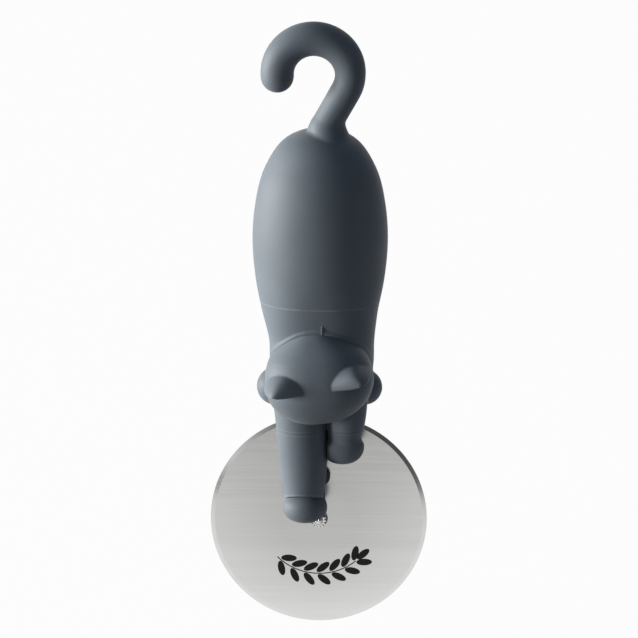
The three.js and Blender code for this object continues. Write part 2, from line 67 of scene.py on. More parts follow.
# Fits between the mouldings
GAP = 0.0003
SEAM_GAP = 0.00002
SEAM_BEAD = 0.00006
LIP = 0.0001
LEG_LIP = 0.00005
FOOT_LIP = 0.0002
PAW_LIP = 0.0004
LIP_STEPS = 4
SEAT_DEPTH = 0.0006
SEAT_GAP = 0.00002
SEAT_BEAD_WIDTH = 0.0008
SEAT_BEAD_HEIGHT = 0.0005

# Body: half width and height above the axle, from the tail's root down to the chest
BODY_OUTLINE = [
    (0, 0.1524), (0.0065, 0.1516), (0.0132, 0.1483), (0.0205, 0.1376), (0.0242, 0.1226),
    (0.025, 0.112), (0.0237, 0.0946), (0.0212, 0.082), (0.0194, 0.0715), (0.0191, 0.062),
    (0.0174, 0.053), (0.0105, 0.0456), (0, 0.0436),
]
BODY_LOW = 0
BODY_HIGH = 0.16
BODY_SHIFT = 0.0002
BODY_DEPTH = 0.9
BODY_WALL = 0.0036
BODY_POINT = 0.0002
SEAM_Z = 0.087
SEAM_TILT = math.radians(4.5)
SEAM_NORMAL = Vector((0, math.sin(SEAM_TILT), math.cos(SEAM_TILT)))
SEAM_OVERLAP = 0.006
CHEST_SHIFT = 0.0008
CHEST_SHIFT_FROM = 0.086
CHEST_SHIFT_TO = 0.07
ROUND = 2
NECK_SQUARE = 2.6
NECK_FROM = 0.104
NECK_TO = 0.074
CAVITY_TOP = 0.143
CAVITY_BOTTOM = 0.051
CAVITY_STEPS = 12

# Tail: a straight root, an arc round the hook's centre and a round tip, with a flare of x, z and half sizes
HOOK_CENTRE = (-0.00245, 0.1738)
HOOK_RADIUS = 0.0135
HOOK_TIP_ANGLE = math.radians(184.5)
TAIL_LEAN = math.radians(-28.5)
TAIL_ROOT_LENGTH = 0.0195
TAIL_ROOT_RADIUS = 0.0056
TAIL_RISE_RADIUS = 0.0057
TAIL_TOP_RADIUS = 0.0064
TAIL_TIP_RADIUS = 0.0062
TAIL_FLARE = [
    (0.0034, 0.1475, 0.0085, 0.0105), (0.0032, 0.1495, 0.008, 0.0094), (0.003, 0.1508, 0.0075, 0.0083),
    (0.0028, 0.1521, 0.0072, 0.0073), (0.0026, 0.1537, 0.0068, 0.0065), (0.0028, 0.1553, 0.0065, 0.0059),
    (0.0033, 0.1568, 0.0062, 0.0055),
]

# Head, ears and elbows; ear points are measured from the head's centre
HEAD_PLACE = (0.0005, -0.014, 0.0594)
HEAD_HALF = (0.0202, 0.0165, 0.0157)
HEAD_ROLL = math.radians(-9)
CROWN_STRETCH = 1.34
CROWN_FROM = 0.5
CROWN_TAPER = 0.36
CROWN_FLAT = 0.2
CROWN_EASE = 1.5
SKULL_SQUARE = 2.45
EAR_INNER = ((0.0055, -0.0163, 0.0005), (0.0112, -0.0189, 0.0004))
EAR_OUTER = ((0.0199, -0.0042, 0.003), (0.0208, -0.0172, 0.0024))
EAR_BACK = ((0.0119, -0.0131, 0.0092), (0.0139, -0.0198, 0.0078))
EAR_TIP = (0.0169, -0.0199, 0.0013)
EAR_ROOT = -0.3
EAR_TOP = 0.98
EAR_RINGS = 40
EAR_RIDGE = 1.55
EAR_SOFT = 0.5
EAR_HOLLOW = 0.45
ELBOWS = [((-0.016, 0.002, 0.0524), 0.0071), ((0.0168, 0.002, 0.0523), 0.0066)]

# Forelegs: x, z, half width and half depth of each level, with a flat back
LEG_Y = -0.0055
LEG_BACK = 0.0026
LEG_SEAM_Z = 0.0384
LEG_OVERLAP = 0.003
LEG_CLEARANCE = 0.00005
LEG_PARTING = (0.0029, LEG_Y, 0.037)
LEG_PARTING_HALF = (0.0002, 0.012, 0.006)
LEG_RINGS = 8
LONG_FOOT = (-0.00515, 0.0126, 0.00725, 0.0068)
LONG_KNEE = (-0.00555, 0.0245, 0.00875, 0.0077)
LONG_SEAM = (-0.00645, LEG_SEAM_Z, 0.00915, 0.0081)
LONG_STUB = (-0.0076, 0.054, 0.0099, 0.0086)
SHORT_FOOT = (0.01015, 0.0319, 0.0069, 0.005)
SHORT_WAIST = (0.0097, 0.035, 0.0062, 0.005)
SHORT_SEAM = (0.01, LEG_SEAM_Z, 0.0068, 0.0056)
SHORT_STUB = (0.0103, 0.054, 0.0083, 0.0074)

# Paws: x, z, half width, half depth, height above and below z, and how square the bulb is
LONG_PAW = (-0.00485, 0.0079, 0.00825, 0.0077, 0.0055, 0.0057, 2.3)
SHORT_PAW = (0.0089, 0.0319, 0.0081, 0.0053, 0.0035, 0.0071, 2.2)
CREASE_Z = 0.0112
CREASE_TILT = math.radians(23)
CREASE_NORMAL = Vector((0, math.sin(CREASE_TILT), math.cos(CREASE_TILT)))

# Mould mark on the nape, and the plugs over the belly screws
NAPE_MARK = (0.0014, 0.0806)
NAPE_MARK_HALF = (0.0003, 0.0006, 0.0028)
PLUG_HEIGHTS = {"belly_plug_front": 0.078, "belly_plug_rear": 0.093}
PLUG_RADIUS = 0.0033
PLUG_THICKNESS = 0.001
PLUG_SEAT_DEPTH = 0.0024
PLUG_CLEARANCE = 0.00015
PLUG_REACH = 3 * PLUG_RADIUS

# Wheel, hub and axle, with places along Y
WHEEL_RADIUS = 0.04
WHEEL_HOLE = 0.00335
WHEEL_HALF = 0.0006
WHEEL_FRONT = AXLE.y - WHEEL_HALF
WHEEL_BACK = AXLE.y + WHEEL_HALF
BEVEL_WIDTH = 0.0015
EDGE_HALF = 0.00008
RUNNING_CLEARANCE = 0.00006
HUB_CLEARANCE = 0.00015
BUSH_RADIUS = 0.0032
BUSH_OVERHANG = 0.0001
BUSH_FRONT = WHEEL_FRONT - BUSH_OVERHANG
BUSH_BACK = WHEEL_BACK + BUSH_OVERHANG
BRACKET_FRONT = 0.0029
BRACKET_BACK = 0.0049
WASHER_PLAY = 0.00005
FRONT_WASHER_RADIUS = 0.0028
FRONT_WASHER_FRONT = BRACKET_BACK + WASHER_PLAY
FRONT_WASHER_BACK = BUSH_FRONT - WASHER_PLAY
REAR_WASHER_RADIUS = 0.005
RING_EDGE = 0.25
REAR_WASHER_THICKNESS = 0.0004
REAR_WASHER_FRONT = BUSH_BACK + HUB_CLEARANCE
REAR_WASHER_BACK = REAR_WASHER_FRONT + REAR_WASHER_THICKNESS
AXLE_RADIUS = 0.0015
AXLE_STUB = 0.0009
AXLE_END = BRACKET_FRONT - AXLE_STUB
AXLE_HEAD_RADIUS = 0.004
AXLE_HEAD_RIM = 0.0006
AXLE_HEAD_CROWN = 0.0016

# Toothed cap on the axle's front end
LOCK_CAP_BACK = BRACKET_FRONT - HUB_CLEARANCE
LOCK_CAP_HEIGHT = 0.0017
LOCK_CAP_RIM = 0.0005
LOCK_CAP_RADIUS = 0.0028
LOCK_CAP_ROOT = 0.0021
LOCK_CAP_DOME = 0.0018
LOCK_CAP_TEETH = 13
TOOTH_POINTS = 4

# Bracket: places (x, z) from the axle, a lobe with its radius, and arcs in degrees
TANG_HALF_WIDTH = 0.007
TANG_TOP = 0.097
BRACKET_END_RADIUS = 0.0025
BRACKET_END_ARC = (195, 370)
BRACKET_LOBE = (0.0008, 0.0168, 0.0034)
BRACKET_LOBE_ARC = (-65, 65)
BRACKET_RIGHT = (0.0034, 0.0235)
BRACKET_SHOULDER = 0.042
BRACKET_LEFT = [(-0.0105, 0.034), (-0.009, 0.008)]
BRACKET_ROUNDING = 0.0003
AXLE_HOLE = (0, 0)
TANG_SCREWS = [(0, 0.066), (0, 0.0855)]
LEG_SCREWS = [(-0.006, 0.027), (-0.0048, 0.01)]
SCREW_HOLE_RADIUS = 0.00165
SCREW_POCKET_RADIUS = 0.00295
SCREW_POCKET_DEPTH = 0.0016

# Sprig printed on the wheel: an arc of leaves below the axle, in radians and metres
PRINT_THICKNESS = 0.00002
PRINT_SINK = 0.000005
PRINT_BACK = WHEEL_FRONT + PRINT_SINK
SPRIG_RADIUS = 0.0215
SPRIG_MIDDLE = math.radians(-90)
SPRIG_SPREAD = math.radians(40)
STEM_WIDTH = 0.0004
STEM_STEPS = 60
STEM_BARE = math.radians(5)
LEAF_PAIRS = 7
LEAF_SIDES = 32
LEAF_HALF_LENGTH = 0.00289
LEAF_HALF_WIDTH = 0.0013
LEAF_REACH = 0.0024
LEAF_ADVANCE = math.radians(5)
LEAF_SPLAY = math.radians(38)

# Painted highlights on the grey along the seams' lips and the right ear's rim: half the width of each painted
# line and how pale it gets
SEAM_HIGHLIGHT = (0.00038, 0.6)
LEG_HIGHLIGHT = (0.00025, 0.25)
LEG_BAND = 0.0008
CREASE_HIGHLIGHT = (0.0004, 0.3)
CREASE_HIGHLIGHT_RISE = 0.0004
EAR_HIGHLIGHT = (0.0009, 1)
HIGHLIGHT_PATCHES = 140
HIGHLIGHT_SHARE = (0.2, 1)

# Grey plastic: colours and the pale colour of the painted highlights, clouds, grain as size and detail,
# gloss, sheen, and relief as strength and depth
GREY_DARK = (0.106, 0.126, 0.153)
GREY_LIGHT = (0.118, 0.139, 0.168)
GREY_HIGHLIGHT = (0.3, 0.33, 0.37)
GREY_CLOUDS = 90
GREY_GRAIN = (3800, 2)
GREY_ROUGH = (0.55, 0.61)
GREY_GLOSS = 0.25
GREY_SHEEN = 0.06
GREY_SHEEN_ROUGH = 0.4
GREY_BUMP = (0.06, 0.00004)

# Blade steel: colours, painted reflection that brightens the colour from the centre to the rim, and brush
# marks as size, detail and stretch
STEEL_DARK = (0.585, 0.583, 0.575)
STEEL_LIGHT = (0.615, 0.613, 0.605)
STEEL_RIM_LIGHT = (0.99, 1.2)
STEEL_FLAT = 0.014
STEEL_LINES = (1.6, 4, (14, 14, 1500))
STEEL_STREAKS = (1.2, 2, (3, 3, 160))
STEEL_ROUGH = (0.18, 0.26)
STEEL_BUMP = (0.04, 0.00003)

# Plain finishes: dark and light colour, metal, roughness and size of the grain
INK = ((0.006, 0.006, 0.005), (0.011, 0.011, 0.009), 0, (0.6, 0.7), 3000)
INK_GLOSS = 0.2
BLACK_COAT = ((0.008, 0.008, 0.009), (0.016, 0.016, 0.017), 0.2, (0.4, 0.5), 2500)
CHROME = ((0.62, 0.61, 0.61), (0.74, 0.73, 0.73), 1, (0.1, 0.16), 1500)
ZINC = ((0.32, 0.33, 0.34), (0.42, 0.43, 0.44), 1, (0.32, 0.42), 2000)
NYLON = ((0.62, 0.61, 0.57), (0.7, 0.69, 0.65), 0, (0.45, 0.55), 1500)
PLAIN_BUMP = (0.08, 0.00005)
CLOUDS_PER_GRAIN = 1 / 8
NOISE_RANGE = (0.3, 0.7)
NOISE_DETAIL = 3

# Studio: places in metres, powers in watts
AIM = AXLE + Vector((0, 0, 0.08))
KEY_PLACE = (-1.5, -0.1, -0.14)
KEY_SIZE = (1.4, 0.7)
KEY_POWER = 105
KEY_TINT = (1, 0.98, 0.91)
FILL_PLACE = (1.6, -0.5, 0.1)
FILL_SIZE = (0.8, 1.4)
FILL_POWER = 1
FILL_TINT = (0.85, 0.92, 1)
SURROUND_TINT = (0.75, 0.88, 1)
BRIGHT_WAY = (-0.8, 0.6, 0)
BRIGHT_EDGE = (-0.35, 0)
SURROUND_PLAIN = (0.4, 0.4, 0.4)
SURROUND_LEVEL = 0.2
FLOOR_SIZE = 5
FLOOR_DROP = 0.0004
FLOOR_GREY = (0.22, 0.22, 0.22)
FLOOR_ROUGH = 0.9
FLOOR_GLOW = 0.975
FLOOR_REACH = 0.4
FLOOR_FALL = [(0, (1, 1, 1)), (0.5, (0.76, 0.76, 0.76)), (0.85, (0.1, 0.1, 0.1))]

# Camera: the photograph's angle, roll, aim and width of view
VIEW_AZIMUTH = math.radians(1.4)
VIEW_ELEVATION = math.radians(17.6)
VIEW_ROLL = math.radians(0.26)
VIEW_DISTANCE = 10
VIEW_CLIP = 100
VIEW_WIDTH = 0.2363
AIM_UP = 0.07356
AIM_RIGHT = 0.00007
SENSOR_WIDTH = 36

# Faces: how fine the forms are, how often they are relaxed and where their shading breaks
BODY_SIDES = 96
LIMB_SIDES = 64
BALL_RINGS = 32
PAW_POLE = math.radians(88)
WHEEL_SIDES = 256
HUB_SIDES = 64
SPLINE_STEPS = 6
TAIL_STEPS = 40
TIP_STEPS = 8
DOME_STEPS = 8
BRACKET_STEPS = 24
ROUNDING_STEPS = 3
SKIN = 0.0005
FINE_SKIN = 0.0004
HEAD_SKIN = 0.00028
RELAX_SHARE = 0.5
BODY_RELAX = 10
CHEST_RELAX = 8
HEAD_RELAX = 6
FINE_RELAX = 4
SWELL_RELAX = 1
CUT_THRESHOLD = 1e-6
MERGE_DISTANCE = 1e-7
SMOOTH_DEGREES = 35
CAP_DEGREES = 20
WHEEL_DEGREES = 10


def at(x, y, z):
    """A place in the frame, from metres right of and above the axle."""
    return Vector((AXLE.x + x, y, AXLE.z + z))


def about_axle(radius, angle, y=0):
    """A place at a radius and an angle about the axle's line."""
    return at(radius * math.cos(angle), y, radius * math.sin(angle))


def blend(start, end, share):
    return start + (end - start) * share


def ease(value, start, end):
    """0 at the start and 1 at the end of a range, with a soft change between them."""
    t = min(1, max(0, (value - start) / (end - start)))
    return t * t * (3 - 2 * t)


def quarter(steps):
    """Even angles from 0 to a right angle."""
    return [math.pi / 2 * step / steps for step in range(steps + 1)]


def squarer(x, y, power):
    """How far a point of a round ring moves out to lie on a squarer one."""
    ring = math.hypot(x, y)
    return ring / (abs(x) ** power + abs(y) ** power) ** (1 / power) if ring else 1


# Working at the bench: starting, joining, cutting and finishing a piece
def clear_selection():
    bpy.ops.object.select_all(action="DESELECT")


def select_only(piece):
    clear_selection()
    piece.select_set(True)
    bpy.context.view_layer.objects.active = piece


def settle(piece):
    """Puts a piece's place, turn and size into its mesh."""
    select_only(piece)
    bpy.ops.object.transform_apply(location=True, rotation=True, scale=True)
    return piece


def edit(piece):
    select_only(piece)
    bpy.ops.object.mode_set(mode="EDIT")


def close_edit(name):
    """Leaves edit mode with the faces turned outwards, and names the piece."""
    bpy.ops.mesh.select_all(action="SELECT")
    bpy.ops.mesh.remove_doubles(threshold=MERGE_DISTANCE)
    bpy.ops.mesh.normals_make_consistent(inside=False)
    bpy.ops.object.mode_set(mode="OBJECT")
    piece = bpy.context.active_object
    piece.name = name
    piece.data.name = name
    return settle(piece)


def extrude(move):
    bpy.ops.mesh.extrude_region_move(TRANSFORM_OT_translate={"value": move})


def scale_about(centre, value):
    bpy.ops.transform.resize(value=value, center_override=centre)


def begin(add, **settings):
    """Adds a simple form, all selected and open in edit mode."""
    clear_selection()
    add(**settings)
    bpy.ops.object.mode_set(mode="EDIT")


def disc(sides, radius, centre, turned=(0, 0, 0)):
    add = bpy.ops.mesh.primitive_circle_add
    begin(add, vertices=sides, radius=radius, fill_type="NGON", location=centre, rotation=turned)


def step_ring(centre, radius, next_centre, next_radius):
    """Carries the selected ring on to its next centre and radius, and returns them."""
    extrude(next_centre - centre)
    scale_about(next_centre, (next_radius / radius,) * 3)
    return next_centre, next_radius


def draw(points):
    """Starts a piece as a line drawn from point to point, which stays selected in edit mode."""
    begin(bpy.ops.mesh.primitive_plane_add, size=GAP, location=points[0])
    bpy.ops.mesh.merge(type="CENTER")
    for start, end in zip(points, points[1:]):
        extrude(end - start)
    bpy.ops.mesh.select_all(action="SELECT")


def loft(name, levels, sides):
    """Level rings of (centre, half width, half depth), each extruded from the last, with closed ends."""
    centre, width, depth = levels[0]
    disc(sides, width, centre)
    scale_about(centre, (1, depth / width, 1))
    for next_centre, next_width, next_depth in levels[1:]:
        extrude(next_centre - centre)
        scale_about(next_centre, (next_width / width, next_depth / depth, 1))
        centre, width, depth = next_centre, next_width, next_depth
    return close_edit(name)


def turn(name, outline, sides):
    """An outline of (radius, y) spun about the axle."""
    draw([at(radius, y, 0) for radius, y in outline])
    bpy.ops.mesh.spin(steps=sides, angle=2 * math.pi, center=at(0, 0, 0), axis=(0, 1, 0))
    return close_edit(name)


def ball(name, centre, half):
    add = bpy.ops.mesh.primitive_uv_sphere_add
    begin(add, segments=LIMB_SIDES, ring_count=BALL_RINGS, radius=1, location=centre)
    scale_about(centre, half)
    return close_edit(name)


def rod_along_y(name, centre, radius, front, back):
    middle = Vector((centre.x, (front + back) / 2, centre.z))
    add = bpy.ops.mesh.primitive_cylinder_add
    begin(add, vertices=HUB_SIDES, radius=radius, depth=back - front, location=middle, rotation=ALONG_Y)
    return close_edit(name)


def block(name, low, high):
    begin(bpy.ops.mesh.primitive_cube_add, size=1, location=(low + high) / 2)
    scale_about((low + high) / 2, high - low)
    return close_edit(name)


def copy_of(piece, name):
    select_only(piece)
    bpy.ops.object.duplicate()
    copy = bpy.context.active_object
    copy.name = name
    return copy


def modify(piece, kind, **settings):
    """Gives a piece a modifier and applies it."""
    select_only(piece)
    modifier = piece.modifiers.new(kind.lower(), kind)
    for name, value in settings.items():
        setattr(modifier, name, value)
    bpy.ops.object.modifier_apply(modifier=modifier.name)


def combine(piece, tool, operation):
    """Joins to the piece, cuts from it or trims it by another form, which is used up."""
    modify(piece, "BOOLEAN", operation=operation, object=tool, solver="EXACT")
    bpy.data.objects.remove(tool)


def resurface(piece, face_size, passes):
    """Gives a form even faces and relaxes them, so that its joins become fillets and its edges soften."""
    modify(piece, "REMESH", mode="VOXEL", voxel_size=face_size)
    modify(piece, "SMOOTH", factor=RELAX_SHARE, iterations=passes)


def swell(piece, thickness):
    """Moves every face of a form outwards, or inwards where the thickness is negative."""
    modify(piece, "DISPLACE", strength=thickness, mid_level=0)
    resurface(piece, SKIN, SWELL_RELAX)
    return piece


def open_rim(piece, point, away, fill=False):
    """Cuts off what lies beyond a plane and leaves the rim selected in edit mode, open or filled."""
    edit(piece)
    bpy.ops.mesh.select_all(action="SELECT")
    bpy.ops.mesh.bisect(
        plane_co=point, plane_no=away, use_fill=fill, clear_outer=True, threshold=CUT_THRESHOLD)


def cut_flat(piece, point, away):
    """Cuts off what lies beyond a plane and closes the cut."""
    open_rim(piece, point, away, fill=True)
    return close_edit(piece.name)


def roll_lip(centre, away, rim_radius, lip, bead=0):
    """Rounds the selected rim over into its seam and returns the rim's new centre and radius."""
    start, radius = centre, rim_radius
    for angle in quarter(LIP_STEPS)[1:]:
        next_radius = rim_radius - lip * (1 - math.cos(angle)) + bead * math.sin(2 * angle)
        centre, radius = step_ring(centre, radius, start + away * lip * math.sin(angle), next_radius)
    return centre, radius


def round_edges(piece, width):
    modify(piece, "BEVEL", width=width, segments=ROUNDING_STEPS)


def smooth(piece, degrees=SMOOTH_DEGREES):
    select_only(piece)
    bpy.ops.object.shade_smooth_by_angle(angle=math.radians(degrees))
    return piece


# Body outline
def heading(before, point, after):
    """The way a curve runs through a point, weighted towards the nearer of its neighbours."""
    came, goes = point - before, after - point
    return (came * goes.length / came.length + goes * came.length / goes.length) / (came.length + goes.length)


def spline(points, steps):
    """Points on the smooth curve through all points but the first and last, which only lead it in and out."""
    knots = [Vector(point) for point in points]
    curve = []
    for before, start, end, after in zip(knots, knots[1:], knots[2:], knots[3:]):
        span = (end - start).length
        leave, arrive = heading(before, start, end) * span, heading(start, end, after) * span
        for step in range(steps):
            t = step / steps
            bend = (2 * start - 2 * end + leave + arrive) * t ** 3
            bend += (3 * end - 3 * start - 2 * leave - arrive) * t ** 2
            curve.append(bend + leave * t + start)
    curve.append(knots[-2])
    return curve


def mirrored(point):
    return -point[0], point[1]


lead_in, lead_out = mirrored(BODY_OUTLINE[1]), mirrored(BODY_OUTLINE[-2])
body_curve = spline([lead_in, *BODY_OUTLINE, lead_out], SPLINE_STEPS)


def body_half_width(z):
    for (high_width, high), (low_width, low) in zip(body_curve, body_curve[1:]):
        if low <= z <= high:
            return blend(low_width, high_width, (z - low) / (high - low))
    return 0


def chest_sway(z):
    return BODY_SHIFT + CHEST_SHIFT * ease(z, CHEST_SHIFT_FROM, CHEST_SHIFT_TO)


def body_levels(lowest, highest):
    levels = []
    for half_width, z in body_curve:
        if lowest <= z <= highest:
            width = max(BODY_POINT, half_width)
            levels.append((at(chest_sway(z), 0, z), width, width * BODY_DEPTH))
    return levels


def body_loft(name, lowest, highest):
    """A stretch of the body, whose rings grow squarer towards the neck."""
    body = loft(name, body_levels(lowest, highest), BODY_SIDES)
    edit(body)
    shell = bmesh.from_edit_mesh(body.data)
    for vertex in shell.verts:
        z = vertex.co.z - AXLE.z
        middle = at(chest_sway(z), 0, z)
        out = vertex.co - middle
        power = blend(ROUND, NECK_SQUARE, ease(z, NECK_FROM, NECK_TO))
        vertex.co = middle + out * squarer(out.x, out.y / BODY_DEPTH, power)
    bmesh.update_edit_mesh(body.data)
    return close_edit(name)


def line_body(centre, radius, heights):
    """Carries a selected rim inwards over the wall's edge and up or down the hollow, and closes its end."""
    for z in heights:
        next_centre = centre if z == heights[0] else at(chest_sway(z), 0, z)
        centre, radius = step_ring(centre, radius, next_centre, body_half_width(z) - BODY_WALL)
    bpy.ops.mesh.merge(type="CENTER")


def seam_rim(away):
    """Where one half of the body ends, short of the seam by half its gap and the lip."""
    return at(0, 0, SEAM_Z) - away * (SEAM_GAP / 2 + LIP)


def hollow(piece, away, end, bead=0):
    """Opens a body half at the seam and gives it a rounded lip and a wall."""
    rim = seam_rim(away)
    open_rim(piece, rim, away)
    centre, radius = roll_lip(rim, away, body_half_width(SEAM_Z), LIP, bead)
    heights = [blend(SEAM_Z, end, step / CAVITY_STEPS) for step in range(CAVITY_STEPS + 1)]
    line_body(centre, radius, heights)
    return close_edit(piece.name)


# Belly plugs: each sits flush in its own seat in the belly wall
def plug_rod(name, z, radius, depth):
    wall = body_half_width(z) * BODY_DEPTH
    return rod_along_y(name, at(0, 0, z), radius, wall - depth, wall + PLUG_RADIUS)


def cut_plug_seat(body, z):
    combine(body, plug_rod("seat", z, PLUG_RADIUS + PLUG_CLEARANCE, PLUG_SEAT_DEPTH), "DIFFERENCE")


def belly_plug(name, z):
    plug = plug_rod(name, z, PLUG_RADIUS, PLUG_THICKNESS)
    combine(plug, body_loft("belly", z - PLUG_REACH, z + PLUG_REACH), "INTERSECT")
    round_edges(plug, LIP)
    return smooth(plug)


# Tail: a ring extruded up the root, swung round the hook's centre and closed by a round tip
def tail():
    hook = at(HOOK_CENTRE[0], 0, HOOK_CENTRE[1])
    way = Vector((-math.sin(TAIL_LEAN), 0, math.cos(TAIL_LEAN)))
    out = Vector((math.cos(TAIL_LEAN), 0, math.sin(TAIL_LEAN)))
    centre = hook + out * HOOK_RADIUS - way * TAIL_ROOT_LENGTH
    radius = TAIL_ROOT_RADIUS
    disc(LIMB_SIDES, radius, centre, (0, -TAIL_LEAN, 0))
    swing = (HOOK_TIP_ANGLE - TAIL_LEAN) / TAIL_STEPS
    for step in range(TAIL_STEPS + 1):
        angle = TAIL_LEAN + swing * step
        next_centre = hook + HOOK_RADIUS * Vector((math.cos(angle), 0, math.sin(angle)))
        limb = TAIL_RISE_RADIUS if angle < math.pi / 2 else TAIL_TIP_RADIUS
        next_radius = blend(limb, TAIL_TOP_RADIUS, max(0, math.sin(angle)))
        centre, radius = step_ring(centre, radius, next_centre, next_radius)
        if step:
            bpy.ops.transform.rotate(value=swing, orient_axis="Y", center_override=centre)
    way = Vector((-math.sin(HOOK_TIP_ANGLE), 0, math.cos(HOOK_TIP_ANGLE)))
    start = centre
    for angle in quarter(TIP_STEPS)[1:-1]:
        next_centre = start + way * TAIL_TIP_RADIUS * math.sin(angle)
        centre, radius = step_ring(centre, radius, next_centre, TAIL_TIP_RADIUS * math.cos(angle))
    return close_edit("tail")


def hind_body():
    body = body_loft("hind_body", SEAM_Z - SEAM_OVERLAP, BODY_HIGH)
    combine(body, tail(), "UNION")
    flare = [(at(x, 0, z), half_width, half_depth) for x, z, half_width, half_depth in TAIL_FLARE]
    combine(body, loft("flare", flare, LIMB_SIDES), "UNION")
    resurface(body, SKIN, BODY_RELAX)
    cut_plug_seat(body, PLUG_HEIGHTS["belly_plug_rear"])
    body = hollow(body, -SEAM_NORMAL, CAVITY_TOP)
    return smooth(body)


# Forelegs and paws
def leg_loft(name, *levels):
    """A leg through its levels, from the lowest up, carried on past both ends and cut flat behind."""
    knots = [Vector(level) for level in levels]
    below, above = blend(knots[1], knots[0], 2), blend(knots[-2], knots[-1], 2)
    lead_in, lead_out = blend(knots[0], below, 2), blend(knots[-1], above, 2)
    curve = spline([lead_in, below, *knots, above, lead_out], LEG_RINGS)
    leg = loft(name, [(at(x, LEG_Y, z), width, depth) for x, z, width, depth in curve], LIMB_SIDES)
    return cut_flat(leg, at(0, LEG_BACK, 0), BACKWARDS)


def paw_bulb(name, paw):
    x, z, half_width, half_depth, above, below, power = paw
    levels = []
    for step in range(BALL_RINGS + 1):
        height = math.sin(blend(-PAW_POLE, PAW_POLE, step / BALL_RINGS))
        share = (1 - abs(height) ** power) ** (1 / power)
        rise = height * (above if height > 0 else below)
        levels.append((at(x, LEG_Y, z + rise), half_width * share, half_depth * share))
    bulb = loft(name, levels, LIMB_SIDES)
    return cut_flat(bulb, at(0, LEG_BACK, 0), BACKWARDS)


def end_leg(piece, centre, away, radius, lip):
    """Ends a leg or paw at a seam with a rounded lip and a flat face."""
    rim = centre - away * (SEAM_GAP / 2 + lip)
    open_rim(piece, rim, away)
    roll_lip(rim, away, radius, lip)
    bpy.ops.mesh.edge_face_add()
    return close_edit(piece.name)


def long_leg():
    leg = leg_loft("left_foreleg", LONG_FOOT, LONG_KNEE, LONG_SEAM)
    resurface(leg, FINE_SKIN, FINE_RELAX)
    leg = end_leg(leg, at(LONG_SEAM[0], LEG_Y, LEG_SEAM_Z), UP, LONG_SEAM[2], LEG_LIP)
    crease = at(LONG_FOOT[0], LEG_Y, CREASE_Z)
    leg = end_leg(leg, crease, -CREASE_NORMAL, LONG_FOOT[2], FOOT_LIP)
    return smooth(leg)


def long_paw():
    paw = paw_bulb("left_paw", LONG_PAW)
    resurface(paw, FINE_SKIN, FINE_RELAX)
    paw = end_leg(paw, at(LONG_PAW[0], LEG_Y, CREASE_Z), CREASE_NORMAL, LONG_PAW[2], PAW_LIP)
    return smooth(paw)


def short_paw():
    paw = leg_loft("right_paw", SHORT_FOOT, SHORT_WAIST, SHORT_SEAM)
    paw = cut_flat(paw, at(0, LEG_Y, SHORT_FOOT[1]), -UP)
    combine(paw, paw_bulb("bulb", SHORT_PAW), "UNION")
    beside = LEG_PARTING[0] + LEG_PARTING_HALF[0] + GAP
    paw = cut_flat(paw, at(beside, LEG_Y, 0), Vector((-1, 0, 0)))
    resurface(paw, FINE_SKIN, FINE_RELAX)
    paw = end_leg(paw, at(SHORT_SEAM[0], LEG_Y, LEG_SEAM_Z), UP, SHORT_SEAM[2], LEG_LIP)
    return smooth(paw)


# Chest and head, which is let into a shallow seat on the nape
def chest_blank():
    chest = body_loft("chest", BODY_LOW, SEAM_Z + SEAM_OVERLAP)
    for place, radius in ELBOWS:
        combine(chest, ball("elbow", at(*place), (radius,) * 3), "UNION")
    for foot, seam, top in ((LONG_KNEE, LONG_SEAM, LONG_STUB), (SHORT_WAIST, SHORT_SEAM, SHORT_STUB)):
        stub = leg_loft("stub", foot, seam, top)
        stub = cut_flat(stub, at(0, LEG_Y, LEG_SEAM_Z - LEG_OVERLAP), -UP)
        combine(chest, cut_flat(stub, at(0, LEG_Y, top[1]), UP), "UNION")
    resurface(chest, SKIN, CHEST_RELAX)
    return chest


def skull(grow=0):
    """The head, still level and at the origin, a little square, with a crown drawn up and tapered."""
    half = [size + grow for size in HEAD_HALF]
    egg = ball("skull", Vector((0, 0, 0)), half)
    edit(egg)
    shell = bmesh.from_edit_mesh(egg.data)
    for vertex in shell.verts:
        vertex.co.xy *= squarer(vertex.co.x / half[0], vertex.co.y / half[1], SKULL_SQUARE)
        up = max(0, vertex.co.z / half[2] - CROWN_FROM) / (1 - CROWN_FROM)
        vertex.co.x *= 1 - CROWN_TAPER * up ** CROWN_EASE
        vertex.co.y *= 1 - CROWN_FLAT * up ** CROWN_EASE
        vertex.select_set(vertex.co.z > 0)
    shell.select_flush_mode()
    bmesh.update_edit_mesh(egg.data)
    scale_about((0, 0, 0), (1, 1, CROWN_STRETCH))
    return close_edit("skull")


def ear_edge(edge, t):
    """A point on one of the ear's bowed edges, from its root at 0 to the tip at 1."""
    root, bow = [Vector(point) for point in edge]
    return root * (1 - t) ** 2 + bow * 2 * t * (1 - t) + Vector(EAR_TIP) * t ** 2


def ear(side):
    """A tube of level rings shaped into a bowed shell, with a soft ridge down its back and a hollow front."""
    clear_selection()
    bpy.ops.mesh.primitive_circle_add(
        vertices=LIMB_SIDES, radius=1, fill_type="NGON", location=(0, 0, EAR_ROOT))
    edit(settle(bpy.context.active_object))
    for step in range(EAR_RINGS):
        extrude((0, 0, (EAR_TOP - EAR_ROOT) / EAR_RINGS))
    shell = bmesh.from_edit_mesh(bpy.context.active_object.data)
    for vertex in shell.verts:
        x, y, t = vertex.co
        inner, outer, back = [ear_edge(edge, t) for edge in (EAR_INNER, EAR_OUTER, EAR_BACK)]
        middle, across = (inner + outer) / 2, (outer - inner) / 2
        rise = back - middle
        if y > 0:
            reach = (math.hypot(x, EAR_SOFT * y) ** EAR_RIDGE + y ** EAR_RIDGE) ** (-1 / EAR_RIDGE)
            place = middle + (across * x + rise * y) * reach
        else:
            place = middle + across * x + rise * EAR_HOLLOW * (1 - x * x) ** 2
        vertex.co = (side * place.x, place.y, place.z)
    bmesh.update_edit_mesh(bpy.context.active_object.data)
    return close_edit("ear")


